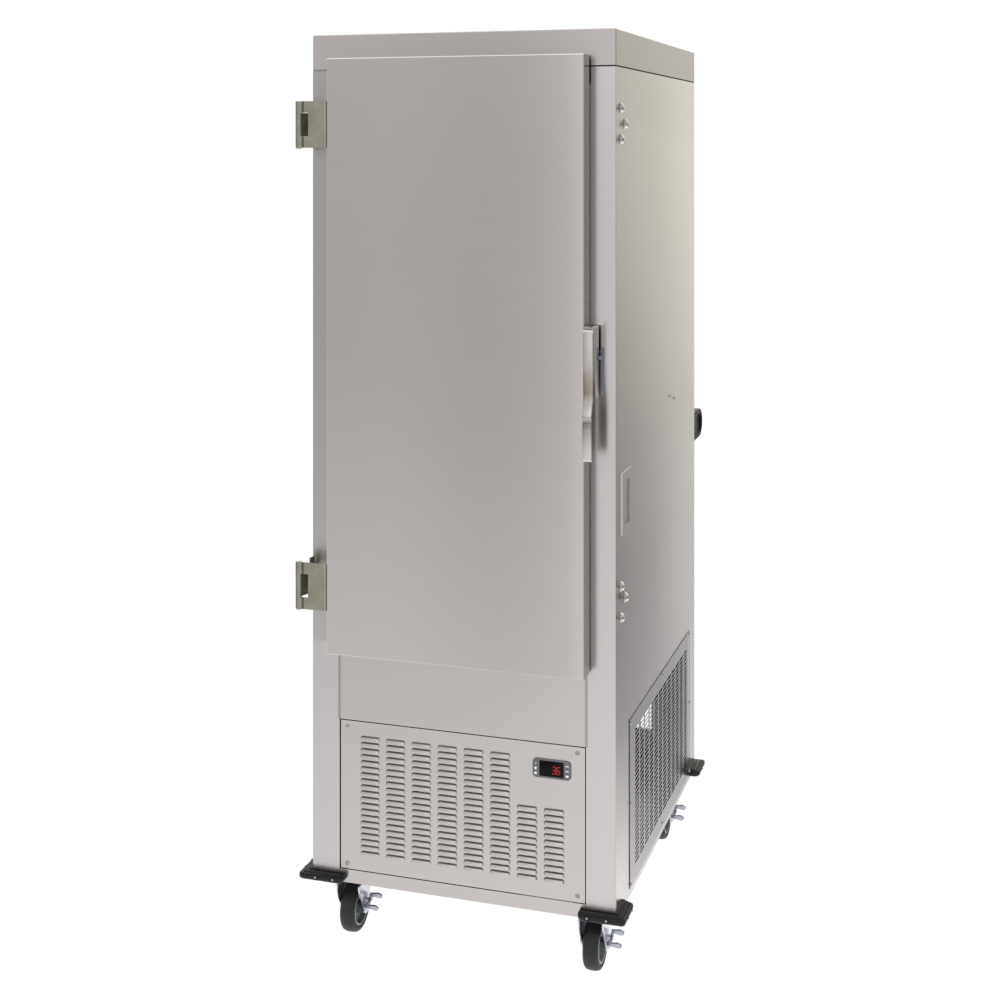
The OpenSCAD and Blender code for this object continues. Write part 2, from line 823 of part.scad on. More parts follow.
module louver_panel() color(steel) placed() {
    difference() {
        slab([-panel_hw, panel_hw], [0, fold_d - sheet_t], [panel_z0, panel_z1]);
        slab([-panel_hw + panel_t, panel_hw - panel_t], [panel_t, fold_d],
            [panel_z0 + panel_t, panel_z1 - panel_t]);
        for (p = louver_spots)
            slab([p[0] - louver_l / 2, p[0] + louver_l / 2], [-cut, panel_t + cut],
                [p[1] - louver_h / 2, p[1] + louver_h / 2]);
        for (p = panel_screw_spots)
            bar_y([p[0], -cut, p[1]], panel_shank_r + screw_fit, panel_t + 2 * cut);
        slab([controller_x - cutout_w / 2, controller_x + cutout_w / 2], [-cut, panel_t + cut],
            [controller_z - cutout_h / 2, controller_z + cutout_h / 2]);
    }
    for (p = louver_spots) translate([0, 0, p[1]]) plate_yz(p[0] - louver_l / 2, louver_l)
        polygon(louver_section());
    for (x = [-1, 1], z = [panel_z0, panel_z1 - panel_t])
        slab([x * (panel_hw - panel_screw_x) - seat_pad / 2, x * (panel_hw - panel_screw_x) + seat_pad / 2],
            [panel_t, fold_d - sheet_t], [z, z + panel_t]);
}

module side_grille() color(steel) placed() {
    y0 = grille_front + (grille_l - (slot_cols - 1) * slot_pitch_y) / 2;
    z0 = grille_z0 + (grille_h - (slot_rows - 1) * slot_pitch_z) / 2;
    plate_yz(half_w, grille_t) difference() {
        area([grille_front, grille_front + grille_l], [grille_z0, grille_z0 + grille_h]);
        for (c = [0:slot_cols - 1], r = [0:slot_rows - 1])
            translate([y0 + c * slot_pitch_y - slot_l / 2, z0 + r * slot_pitch_z - slot_h / 2])
                square([slot_l, slot_h]);
        for (p = grille_screw_spots) translate(p) circle(panel_shank_r + screw_fit);
    }
}

// Welded wires behind the rear opening, in a flat frame
module rear_guard() color(zinc) placed() {
    y0 = rear_in - wire_d;
    plate_xz(y0, wire_d) ring_area(vent_w / 2 + guard_lap, [vent_z0 - guard_lap, vent_z1 + guard_lap],
        vent_w / 2, [vent_z0, vent_z1]);
    n = floor((vent_w - wire_pitch) / wire_pitch);
    for (i = [0:n])
        bar_z([(i - n / 2) * wire_pitch, y0 + wire_d / 2, vent_z0 - guard_lap / 2], wire_d / 2,
            vent_h + guard_lap);
    for (z = [vent_z0 + vent_h / 3, vent_z0 + vent_h * 2 / 3])
        bar_x([-vent_w / 2 - guard_lap / 2, y0 + wire_d / 2, z], wire_d / 2, vent_w + guard_lap);
}

// Domed screw with its head's seat at the origin and its shank along +Z
module dome_screw(head_r, head_h, shank_r, shank_l) {
    ball_r = (head_r * head_r + head_h * head_h) / (2 * head_h);
    intersection() {
        translate([0, 0, ball_r - head_h]) sphere(r = ball_r, $fn = 64);
        translate([0, 0, -head_h]) cylinder(r = head_r, h = head_h);
    }
    cylinder(r = shank_r, h = shank_l);
}

// Heads of the hinge screws stand on the leaf, and the shanks end at the inner face of the side
module hinge_screws() color(zinc) placed() {
    for (h = hinge_heights, s = hinge_screw_spots)
        translate([-half_w - leaf_t, s[0], h + s[1]]) rotate([0, 90, 0])
            dome_screw(hinge_head_r, hinge_head_h, hinge_shank_r, leaf_t + sheet_t);
}

module panel_screws() color(zinc) placed() {
    for (p = panel_screw_spots) translate([p[0], 0, p[1]]) rotate([-90, 0, 0])
        dome_screw(panel_head_r, panel_head_h, panel_shank_r, fold_d + screw_end);
    for (p = grille_screw_spots) translate([half_w + grille_t, p[0], p[1]]) rotate([0, -90, 0])
        dome_screw(panel_head_r, panel_head_h, panel_shank_r, grille_t + sheet_t + screw_end);
    for (p = side_screw_spots) translate([half_w, p[0], p[1]]) rotate([0, -90, 0])
        dome_screw(panel_head_r, panel_head_h, panel_shank_r, sheet_t + screw_end);
    for (c = bumper_corners, u = bumper_screw_spots) at_corner(c) translate([0, 0, bumper_h / 2]) {
        translate([-u * bumper_leg, -bumper_out, 0]) rotate([-90, 0, 0])
            dome_screw(bumper_head_r, bumper_head_h, panel_shank_r, bumper_out);
        translate([bumper_out, u * bumper_side_leg, 0]) rotate([0, -90, 0])
            dome_screw(bumper_head_r, bumper_head_h, panel_shank_r, bumper_out);
    }
}

// Places what is drawn for the front right corner at a corner of the cabinet
module at_corner(c) {
    translate([c[0] * half_w, c[1] * body_d, bumper_z0]) mirror([c[0] == 1 ? 0 : 1, 0, 0])
        mirror([0, c[1], 0]) children();
}

// Outline of a corner bumper: the cabinet's corner is at the origin, its faces run to -X and +Y
module bumper_outline(out, leg, side_leg) {
    end_r = out / 2;
    translate([-leg + end_r, -out + end_r]) circle(end_r);
    translate([-leg, -out + end_r]) square([end_r, out - end_r]);
    translate([-leg + end_r, -out]) square([leg + out - 2 * end_r, out]);
    translate([out - end_r, -out + end_r]) circle(end_r);
    translate([0, -out + end_r]) square([out, side_leg + out - 2 * end_r]);
    translate([out - end_r, side_leg - end_r]) circle(end_r);
    translate([0, side_leg - end_r]) square([out - end_r, end_r]);
}

// One bumper for the front right corner, with a ledge along the cabinet and screw pockets
module bumper() {
    difference() {
        union() {
            linear_extrude(bumper_h - bumper_step) bumper_outline(bumper_out, bumper_leg, bumper_side_leg);
            linear_extrude(bumper_h) bumper_outline(bumper_out - bumper_step, bumper_leg - bumper_step,
                bumper_side_leg - bumper_step);
            linear_extrude(bumper_h + bumper_ledge)
                bumper_outline(bumper_ledge_w, bumper_leg - bumper_step, bumper_side_leg - bumper_step);
        }
        for (u = bumper_screw_spots) {
            bar_y([-u * bumper_leg, -bumper_out - cut, bumper_h / 2], panel_shank_r + screw_fit,
                bumper_out + 2 * cut);
            bar_x([-cut, u * bumper_side_leg, bumper_h / 2], panel_shank_r + screw_fit, bumper_out + 2 * cut);
        }
    }
}

// The four bumpers, with a relief over the corner of the side grille and the screw in it
module corner_bumpers() color(dark_plastic) placed() {
    r = bumper_relief;
    difference() {
        for (c = bumper_corners) at_corner(c) bumper();
        slab([half_w - cut, half_w + grille_t + r], [grille_front - r, grille_front + grille_l + r],
            [grille_z0 - r, grille_z0 + grille_h + r]);
        for (p = grille_screw_spots)
            bar_x([half_w, p[0], p[1]], panel_head_r + r, grille_t + panel_head_h + r);
    }
}

// Rounded rectangle about the origin
module soft_rect(w, h, r) {
    square([w - 2 * r, h], center = true);
    square([w, h - 2 * r], center = true);
    for (x = [-1, 1], z = [-1, 1]) translate([x * (w / 2 - r), z * (h / 2 - r)]) circle(r);
}

// Places of the keys: two columns of three beside the display
function key_place(col, row) = [controller_x + col * key_x, controller_z + row * key_pitch];

// Digital thermostat: a bezel on the panel and a body through it
module controller() color(dark_plastic) placed() {
    difference() {
        union() {
            translate([controller_x, 0, controller_z]) plate_xz(-bezel_out, bezel_out)
                soft_rect(bezel_w, bezel_h, bezel_corner);
            slab([controller_x - cutout_w / 2 + sheet_fit, controller_x + cutout_w / 2 - sheet_fit],
                [-cut, controller_d],
                [controller_z - cutout_h / 2 + sheet_fit, controller_z + cutout_h / 2 - sheet_fit]);
        }
        slab([controller_x - lens_w / 2, controller_x + lens_w / 2], [-bezel_out - cut, -bezel_out + lens_t],
            [controller_z - lens_h / 2, controller_z + lens_h / 2]);
        for (c = [-1, 1], r = [-1, 0, 1]) {
            p = key_place(c, r);
            slab([p[0] - key_w / 2 - key_fit, p[0] + key_w / 2 + key_fit],
                [-bezel_out - cut, -bezel_out + key_seat + key_travel + key_fit],
                [p[1] - key_h / 2 - key_fit, p[1] + key_h / 2 + key_fit]);
        }
    }
}

module controller_lens() color("black") placed() {
    slab([controller_x - lens_w / 2 + key_fit, controller_x + lens_w / 2 - key_fit],
        [-bezel_out - lens_proud, -bezel_out + lens_t],
        [controller_z - lens_h / 2 + key_fit, controller_z + lens_h / 2 - key_fit]);
}

module key(col, row) {
    p = key_place(col, row);
    color(white_plastic) placed() translate([p[0], 0, p[1]])
        plate_xz(-bezel_out - key_out, key_out + key_seat) soft_rect(key_w, key_h, key_corner);
}

module key_left_top() key(-1, 1);
module key_left_middle() key(-1, 0);
module key_left_bottom() key(-1, -1);
module key_right_top() key(1, 1);
module key_right_middle() key(1, 0);
module key_right_bottom() key(1, -1);

// Cabinet leaf of a hinge: a plate on the side, a neck and the middle knuckle
module cabinet_leaf() {
    slab([-half_w - leaf_t, -half_w], [leaf_front, side_leaf_l], [-hinge_h / 2, hinge_h / 2]);
    linear_extrude(knuckle_h, center = true) polygon([
        [-half_w, leaf_front], [-half_w, leaf_front - neck_run], [pin_x + knuckle_r / 2, pin_y],
        [pin_x - knuckle_r / 2, pin_y + knuckle_r / 2], [-half_w - leaf_t, leaf_front + cut],
        [-half_w, leaf_front + cut]]);
    bar_z([pin_x, pin_y, -knuckle_h / 2], knuckle_r, knuckle_h);
}

module hinge_leaves_cabinet() color([0.55, 0.56, 0.50]) placed() {
    for (h = hinge_heights) translate([0, 0, h]) difference() {
        cabinet_leaf();
        bar_z([pin_x, pin_y, -hinge_h], hinge_pin_r + run_fit, 2 * hinge_h);
        for (s = hinge_screw_spots)
            bar_x([-half_w - leaf_t - cut, s[0], s[1]], hinge_shank_r + screw_fit, leaf_t + 2 * cut);
    }
}

module hinge_pins() color(zinc) placed() {
    for (h = hinge_heights) {
        bar_z([pin_x, pin_y, h - hinge_h / 2], hinge_pin_r, hinge_h);
        bar_z([pin_x, pin_y, h - hinge_h / 2 - pin_head_h], knuckle_r - 1, pin_head_h - seat_gap);
        bar_z([pin_x, pin_y, h - hinge_h / 2 - pin_head_h], hinge_pin_r, pin_head_h);
    }
}

// Door leaf of a hinge: the outer knuckles, a strip in the plane of the door's face and a bend back
module door_leaf() {
    z = [-hinge_h / 2, hinge_h / 2];
    slab([pin_x, -door_hw], [door_face, door_face + leaf_t], z);
    slab([-door_hw - leaf_t, -door_hw], [door_face, door_face + door_leaf_l], z);
    bar_z([pin_x, pin_y, -hinge_h / 2], knuckle_r, hinge_h);
}

module hinge_leaves_door() color([0.55, 0.56, 0.50]) placed() {
    gap = knuckle_h / 2 + seat_gap;
    for (h = hinge_heights) translate([0, 0, h]) difference() {
        door_leaf();
        bar_z([pin_x, pin_y, -hinge_h], hinge_pin_r + run_fit, 2 * hinge_h);
        slab([pin_x - knuckle_r - cut, pin_x + knuckle_r + notch_w], [pin_y - knuckle_r - cut, 0],
            [-gap, gap]);
    }
}

module hole_plugs() color(zinc) placed() {
    for (h = hinge_heights, s = hinge_screw_spots)
        translate([half_w, s[0], h + s[1]]) rotate([0, -90, 0])
            dome_screw(plug_r, plug_rise, plug_hole_r, plug_stem - cut);
}

// Card holder: a window frame held off the side by its front, top and bottom edges
module card_holder() color(steel) placed() {
    y = [card_front, card_front + card_l];
    z = [card_z0, card_z0 + card_h];
    x1 = half_w + card_gap + card_t;
    plate_yz(half_w + card_gap, card_t) difference() {
        area(y, z);
        area([y[0] + card_rim, y[1] - card_rim], [z[0] + card_rim, z[1] - card_rim]);
    }
    slab([half_w, x1], [y[0], y[0] + card_t], z);
    slab([half_w, x1], y, [z[0], z[0] + card_t]);
    slab([half_w, x1], y, [z[1] - card_t, z[1]]);
}

module push_bar() color(dark_plastic) placed() {
    l = half_w - push_bracket_t + push_socket - seat_gap;
    difference() {
        bar_x([-l, body_d + push_bar_out, push_z], push_bar_d / 2, 2 * l);
        bar_x([-l - cut, body_d + push_bar_out, push_z], push_bar_d / 2 - push_bar_t, 2 * (l + cut));
    }
}

// End bracket of the push bar: a block with a round back, a shallow outer recess and a socket
module push_bracket() {
    round_r = push_bracket_h / 2;
    difference() {
        plate_yz(half_w - push_bracket_t, push_bracket_t) {
            area([body_d, body_d + push_bracket_d - round_r], [push_z - round_r, push_z + round_r]);
            translate([body_d + push_bracket_d - round_r, push_z]) circle(round_r);
        }
        plate_yz(half_w - push_recess, push_recess + cut) {
            area([body_d + push_rim, body_d + push_bracket_d - round_r],
                [push_z - round_r + push_rim, push_z + round_r - push_rim]);
            translate([body_d + push_bracket_d - round_r, push_z]) circle(round_r - push_rim);
        }
        bar_x([half_w - push_bracket_t - cut, body_d + push_bar_out, push_z], push_bar_d / 2 + screw_fit,
            push_socket + cut);
    }
}

module push_bar_brackets() color(dark_plastic) placed() {
    both_sides() push_bracket();
}

module door_outer_pan() color(steel) placed() {
    difference() {
        slab([-door_hw, door_hw], [door_face, door_back], [door_z0, door_z1]);
        slab([-door_hw + door_sheet_t, door_hw - door_sheet_t],
            [door_face + door_sheet_t, door_back - door_sheet_t],
            [door_z0 + door_sheet_t, door_z1 - door_sheet_t]);
        slab([-door_hw + door_fold_w, door_hw - door_fold_w],
            [door_back - door_sheet_t - cut, door_back + cut],
            [door_z0 + door_fold_w, door_z1 - door_fold_w]);
    }
}

// Inner sheet of the door, with a raised field inside the gasket
module door_inner_pan() color(steel) placed() {
    fold = door_fold_w + sheet_fit;
    difference() {
        union() {
            slab([-door_hw + fold, door_hw - fold], [door_back - door_sheet_t, door_back],
                [door_z0 + fold, door_z1 - fold]);
            slab([-field_hw, field_hw], [door_back - door_sheet_t, door_back + door_field_h], field_z);
        }
        slab([-field_hw + door_sheet_t, field_hw - door_sheet_t],
            [door_back - door_sheet_t - cut, door_back + door_field_h - door_sheet_t],
            [field_z[0] + door_sheet_t, field_z[1] - door_sheet_t]);
    }
}

module door_foam() color("khaki") placed() {
    slab([-door_hw + door_sheet_t, door_hw - door_sheet_t],
        [door_face + door_sheet_t, door_back - door_sheet_t],
        [door_z0 + door_sheet_t, door_z1 - door_sheet_t]);
    slab([-field_hw + door_sheet_t, field_hw - door_sheet_t],
        [door_face + door_sheet_t, door_back + door_field_h - door_sheet_t],
        [field_z[0] + door_sheet_t, field_z[1] - door_sheet_t]);
}

// Gasket: a base on the door, a soft neck and a magnetic lip that rests by the breaker strip
module gasket_ring(w, y0, y1) {
    inner = gasket_clear + (gasket_w - w) / 2;
    outer = inner + w;
    plate_xz(y0, y1 - y0) ring_area(open_hw + outer, [open_z0 - outer, open_z1 + outer],
        open_hw + inner, [open_z0 - inner, open_z1 + inner]);
}

module door_gasket() color([0.30, 0.30, 0.31]) placed() {
    base_y = door_back + gasket_d / 4;
    lip_y = door_back + gasket_d / 2;
    gasket_ring(gasket_w, door_back, base_y);
    gasket_ring(gasket_w / 2, base_y, lip_y);
    gasket_ring(gasket_w - 2, lip_y, -seat_gap);
}

// Latch housing on the door's edge: four walls, open to the front and to the rear, cut back at the foot
module latch_housing() color(steel) placed() {
    difference() {
        union() {
            slab([latch_x0, latch_x1], [latch_y0, latch_y1], [latch_z0, latch_z1]);
            bar_x([latch_x0, lever_pin_y, lever_pin_z], lever_eye_r, latch_w);
            slab([latch_x0, latch_x1], [lever_pin_y, latch_y0 + cut],
                [lever_pin_z - lever_eye_r, lever_pin_z + lever_eye_r]);
        }
        slab([latch_x0 + latch_wall, latch_x1 - latch_wall], [lever_pin_y - 2 * lever_eye_r, latch_y1 + cut],
            [latch_z0 + latch_wall, latch_z1 - latch_wall]);
        slab([latch_x0 + latch_wall, latch_x1 - latch_wall], [lever_pin_y - 2 * lever_eye_r, latch_y0],
            [latch_z0, latch_z1 + lever_eye_r]);
        slab([latch_x1 - latch_wall - cut, latch_x1 + cut],
            [strike_bar_y - strike_bar_r - bar_room, latch_y1 + cut],
            [strike_bar_z - strike_bar_r - bar_room, strike_bar_z + strike_bar_r + bar_room]);
        plate_yz(latch_x0 - cut, latch_w + 2 * cut) polygon([[latch_y0 - cut, latch_z0 - cut],
            [latch_y0 + latch_cut_d, latch_z0 - cut], [latch_y0 + latch_cut_d, latch_z0],
            [latch_y0, latch_z0 + latch_cut_h], [latch_y0 - cut, latch_z0 + latch_cut_h]]);
    }
    bar_x([latch_x0, lever_pin_y, lever_pin_z], lever_pin_r, latch_w);
}

// Side view of the lever: a flat top, a hollow, a nose to pull on and a flat tail
module lever_side() {
    f = lever_y0;
    b = lever_y0 + lever_t;
    t = latch_z1 - lever_eye_r;
    z = [for (k = lever_bends) latch_z1 - k * lever_h];
    polygon([[b, t], [f, t], [f, z[0]], [f + lever_dip, z[1]], [f + lever_dip, z[2]],
        [f - lever_nose, z[3]], [f - lever_nose, z[4]], [f - lever_nose + lever_dip, z[5]],
        [b - lever_nose + lever_dip, z[5]], [b - lever_nose, z[4]], [b - lever_nose, z[3]],
        [b, z[2] + lever_t / 2], [b, z[0]]]);
}

module latch_lever() color(steel) placed() {
    difference() {
        union() {
            plate_yz(latch_x0 + seat_gap, latch_w - 2 * seat_gap) difference() {
                lever_side();
                translate([lever_pin_y, lever_pin_z]) circle(lever_eye_r + 2 * seat_gap);
            }
            bar_x([lever_x0, lever_pin_y, lever_pin_z], lever_eye_r - seat_gap, lever_x1 - lever_x0);
            plate_yz(lever_x0, lever_x1 - lever_x0) polygon([
                [lever_y0, lever_pin_z - 2 * lever_eye_r], [lever_y0, lever_pin_z],
                [lever_y0 + lever_t, lever_pin_z], [lever_y0 + lever_t, lever_pin_z - 2 * lever_eye_r]]);
            slab([lever_x0, lever_x1], [lever_y0 + lever_t - cut, strike_bar_y - strike_bar_r - bar_room],
                [strike_bar_z - arm_h / 2, strike_bar_z + arm_h / 2]);
        }
        bar_x([latch_x0 - cut, lever_pin_y, lever_pin_z], lever_pin_r + run_fit, latch_w + 2 * cut);
    }
}

// Strike on the stile: a plate, an ear and a bar that reaches into the housing
module latch_strike() color(dark_plastic) placed() {
    slab([strike_x0, strike_x0 + strike_w], [-strike_t, 0], [strike_z1 - strike_h, strike_z1]);
    slab([strike_x0, strike_x0 + ear_t], [strike_bar_y - strike_bar_r, 0],
        [strike_bar_z - strike_bar_r, strike_bar_z + strike_bar_r]);
    bar_x([lever_x0 + bar_room, strike_bar_y, strike_bar_z], strike_bar_r,
        strike_x0 + ear_t - lever_x0 - bar_room);
}

// Tube through a list of points, with round elbows
module copper_line(points) {
    for (i = [0:len(points) - 2]) {
        a = points[i];
        d = points[i + 1] - a;
        translate(a) rotate([0, acos(d[2] / norm(d)), atan2(d[1], d[0])]) cylinder(r = line_r, h = norm(d));
    }
    for (i = [1:len(points) - 2]) translate(points[i]) sphere(r = line_r);
}

// Hermetic compressor on four rubber feet, with its terminal cover and its two copper lines
module compressor() color([0.13, 0.13, 0.14]) placed() {
    z0 = bay_z0 + comp_foot_h;
    z1 = z0 + comp_h;
    translate([comp_x, comp_y, z0]) {
        rotate_extrude() polygon([[0, 0], [comp_r * 0.8, 0], [comp_r, comp_h * 0.08],
            [comp_r, comp_h * 0.82], [comp_r * 0.9, comp_h * 0.93], [comp_r * 0.55, comp_h], [0, comp_h]]);
        translate([-comp_r, -comp_r, 0]) cube([2 * comp_r, 2 * comp_r, comp_plate_t]);
        translate([comp_r - comp_cover_in, -comp_cover[1] / 2, comp_h * 0.4]) cube(comp_cover);
    }
    foot = comp_r - comp_foot_in;
    for (x = [-1, 1], y = [-1, 1])
        bar_z([comp_x + x * foot, comp_y + y * foot, bay_z0], comp_foot_r, comp_foot_h + cut);
    hot_x = comp_x + comp_line_x;
    coil_y = coil_back + coil_d / 2;
    copper_line([[hot_x, comp_y, z1 - comp_line_in], [hot_x, comp_y, coil_line_z],
        [coil_line_x, comp_y, coil_line_z], [coil_line_x, coil_y, coil_line_z],
        [coil_x0 + coil_w, coil_y, coil_line_z]]);
    cold = [comp_x - comp_line_x, comp_y + comp_line_y];
    copper_line([[cold[0], cold[1], z1 - comp_line_in], [cold[0], cold[1], deck_z]]);
}

// Finned coil between two corners: end plates, fins across X and copper tubes with U bends
module finned_coil(x, y, z, fins, rows) {
    pitch = (x[1] - x[0] - fin_t) / (fins - 1);
    for (i = [0:fins - 1])
        slab([x[0] + i * pitch, x[0] + i * pitch + fin_t], y, z);
    tube_z = (z[1] - z[0]) / rows;
    tube_y = [for (c = tube_rows) y[0] + c * (y[1] - y[0])];
    for (r = [0:rows - 1]) {
        zr = z[0] + (r + 0.5) * tube_z;
        for (yc = tube_y) bar_x([x[0] - tube_end, yc, zr], line_r, x[1] - x[0] + 2 * tube_end);
        for (e = [x[0] - tube_end, x[1] + tube_end - line_r])
            slab([e, e + line_r], tube_y, [zr - line_r, zr + line_r]);
    }
}

module condenser_coil() color(copper) placed() {
    finned_coil([coil_x0, coil_x0 + coil_w], [coil_back, coil_back + coil_d],
        [coil_z0, coil_z0 + coil_h], coil_fins, coil_tubes);
}

module evaporator_coil() color("silver") placed() {
    y0 = duct_y + duct_t;
    finned_coil([-evap_w / 2, evap_w / 2], [y0, y0 + evap_d], [evap_z0, evap_z0 + evap_h],
        evap_fins, evap_tubes);
}

// Fan motor on three arms behind a round hole, with its shaft pointing forward
module fan_motor(x, z, y_ring, hole_r, size, shaft_y0) {
    bar_y([x, y_ring + arm_t, z], size[0], size[1] - arm_t);
    bar_y([x, shaft_y0, z], shaft_r, y_ring + 2 * arm_t - shaft_y0);
    for (a = spider_arms) translate([x, 0, z]) rotate([0, -a, 0])
        slab([0, hole_r + arm_root], [y_ring, y_ring + arm_t], [-arm_t, arm_t]);
}

// Shroud behind the condenser coil, on two legs, with the fan's motor
module fan_shroud() color(zinc) placed() {
    x = [coil_x0, coil_x0 + coil_w];
    z = [coil_z0, coil_z0 + coil_h];
    y1 = shroud_y + shroud_d;
    difference() {
        slab(x, [shroud_y, y1], z);
        slab([x[0] + sheet_t, x[1] - sheet_t], [shroud_y - cut, y1 - sheet_t],
            [z[0] + sheet_t, z[1] - sheet_t]);
        bar_y([fan_x, y1 - sheet_t - cut, fan_z], fan_r + fan_tip, sheet_t + 2 * cut);
    }
    for (e = [x[0], x[1] - leg_w])
        slab([e, e + leg_w], [y1 - leg_w, y1], [bay_z0, z[0] + sheet_t]);
    fan_motor(fan_x, fan_z, y1, fan_r + fan_tip, motor_size, fan_y - arm_t);
}

// Fan rotor that turns about Y: a hub with a bore and pitched blades
module fan_rotor(x, y, z, tip_r, size) {
    depth = size[1];
    translate([x, y, z]) difference() {
        union() {
            bar_y([0, 0, 0], size[0], depth);
            intersection() {
                for (i = [0:fan_blades - 1]) rotate([0, i * 360 / fan_blades, 0]) rotate([0, 0, blade_pitch])
                    slab([-tip_r * 0.3, tip_r * 0.3], [depth / 4 - blade_t / 2, depth / 4 + blade_t / 2],
                        [size[0] - blade_root, tip_r]);
                bar_y([0, -depth, 0], tip_r, 3 * depth);
            }
        }
        bar_y([0, -2 * depth, 0], shaft_r + run_fit, 4 * depth);
    }
}

module condenser_fan() color(dark_plastic) placed() {
    fan_rotor(fan_x, fan_y, fan_z, fan_r, rotor_size);
}

module evaporator_fan() color(dark_plastic) placed() {
    fan_rotor(0, duct_y + duct_t + evap_gap, evap_fan_z, evap_fan_r, evap_rotor_size);
}

// Duct that makes the air curtain: a baffle at the rear, a shelf under the ceiling that blows down
// through slots behind the door, and the fan's motor
module air_duct() color("gainsboro") placed() {
    hw = open_hw;
    motor_y = duct_y + duct_t + evap_gap + evap_motor_gap;
    hole_r = evap_fan_r + fan_tip;
    difference() {
        union() {
            slab([-hw, hw], [duct_y, duct_y + duct_t], [open_z0 + return_h, open_z1]);
            slab([-hw, hw], [duct_front, duct_y + duct_t], [duct_z, duct_z + duct_t]);
            slab([-hw, hw], [duct_front, duct_front + duct_t], [duct_z, open_z1]);
            for (x = [-hw, hw - duct_t])
                slab([x, x + duct_t], [duct_y, liner_y1 - liner_t], [open_z0, open_z1]);
        }
        bar_y([0, duct_y - cut, evap_fan_z], hole_r, duct_t + 2 * cut);
        slab([-hw + duct_t, hw - duct_t], [duct_y - cut, duct_y + duct_t + cut],
            [duct_z + duct_t, open_z1 + cut]);
        for (i = [0:curtain_slots - 1])
            slab([curtain_x(i) - curtain_slot_l / 2, curtain_x(i) + curtain_slot_l / 2],
                [curtain_y, curtain_y + curtain_slot_w], [duct_z - cut, duct_z + duct_t + cut]);
    }
    fan_motor(0, evap_fan_z, motor_y, hole_r, evap_motor_size, duct_y + 3 * duct_t);
    for (a = spider_arms) translate([0, 0, evap_fan_z]) rotate([0, -a, 0])
        slab([hole_r + 1, hole_r + 1 + arm_root], [duct_y, motor_y + arm_t], [-arm_t, arm_t]);
}

// Four uprights and pairs of angles that hold trays by their rims
module tray_slides() color("silver") placed() {
    z_top = slide_z0 + (slide_pairs - 1) * slide_pitch + slide_side + upright_over;
    both_sides() {
        for (y = [slide_y0 + upright_in, slide_y1 - upright_in - upright_w])
            slab([slide_hw, open_hw], [y, y + upright_w], [open_z0, z_top]);
        for (i = [0:slide_pairs - 1]) {
            z = slide_z0 + i * slide_pitch;
            x1 = slide_hw - slide_fit;
            slab([x1 - slide_t, x1], [slide_y0, slide_y1], [z, z + slide_side]);
            slab([x1 - slide_shelf, x1], [slide_y0, slide_y1], [z, z + slide_t]);
        }
    }
}

// Places of the four casters, with the swivel's axis on the floor at the origin of each
module at_caster(side, y) {
    placed() translate([side * (half_w - caster_in), y, 0]) children();
}

module caster_plates() color(zinc) {
    for (side = [-1, 1], y = [front_row, rear_row]) at_caster(side, y) {
        translate([-plate_l / 2, -plate_w / 2, caster_h - plate_t]) cube([plate_l, plate_w, plate_t]);
        bar_z([0, 0, turret_z + seat_gap], turret_r, caster_h - turret_z - seat_gap);
        bar_z([0, 0, crown_z0 - kingpin_head_h], kingpin_r, caster_h - crown_z0 + kingpin_head_h);
        bar_z([0, 0, crown_z0 - kingpin_head_h - seat_gap], kingpin_r + kingpin_lap, kingpin_head_h);
        for (x = [-1, 1], v = [-1, 1])
            translate([x * (plate_l / 2 - bolt_in), v * (plate_w / 2 - bolt_in), caster_h - plate_t - bolt_h])
                cylinder(r = bolt_r, h = bolt_h + plate_t / 2, $fn = 6);
    }
}

// Fork with its crown, race, two legs, axle and the stud of the brake
module fork() {
    difference() {
        union() {
            slab([-fork_out, fork_out], [-caster_trail - crown_lap, turret_r], [crown_z0, crown_z1]);
            bar_z([0, 0, crown_z0], turret_r, turret_z - crown_z0);
            for (x = [-fork_out, fork_in]) plate_yz(x, fork_t) {
                polygon([[-caster_trail - crown_lap, crown_z1], [turret_r, crown_z1],
                    [turret_r, crown_z0 - leg_root], [-caster_trail + boss_r, axle_z],
                    [-caster_trail - boss_r, axle_z]]);
                translate([-caster_trail, axle_z]) circle(boss_r);
            }
        }
        bar_z([0, 0, 0], kingpin_r + run_fit, caster_h);
    }
    bar_x([-fork_out - axle_end, -caster_trail, axle_z], axle_r, 2 * (fork_out + axle_end));
    for (x = [-fork_out - axle_head_h, fork_out]) bar_x([x, -caster_trail, axle_z], axle_head_r, axle_head_h);
    bar_x([fork_in, brake_y, brake_z], stud_r + stud_root, fork_t + brake_off - seat_gap);
    bar_x([fork_out, brake_y, brake_z], stud_r, brake_off + brake_t + seat_gap + stud_lap);
    bar_x([fork_out + brake_off + brake_t + seat_gap, brake_y, brake_z], stud_r + stud_lap, stud_lap);
}

// Closed profile from its upper half, mirrored in the first axis
function both_halves(half) = concat([for (p = half) [p[0], -p[1]]],
    [for (i = [len(half) - 1:-1:0]) half[i]]);

// Wheel: a tyre with a flat tread and chamfered shoulders round a hub with a bore
module wheel() {
    r = wheel_d / 2;
    w = wheel_w / 2;
    translate([0, -caster_trail, axle_z]) rotate([0, 90, 0]) {
        tyre = [[hub_r, w - tyre_edge], [r * tyre_side, w], [r - tyre_crown, w - tyre_shoulder],
            [r, w * tread_half]];
        rotate_extrude($fn = 96) polygon(both_halves(tyre));
        rim = hub_r - run_fit;
        hub = [[axle_r + run_fit, fork_in - seat_gap], [axle_r + hub_lap, fork_in - seat_gap],
            [axle_r + hub_lap + hub_step, w - hub_web], [rim - hub_web, w - hub_web],
            [rim - hub_web + hub_step, w - hub_step], [rim, w - hub_step]];
        rotate_extrude($fn = 96) polygon(both_halves(hub));
    }
}

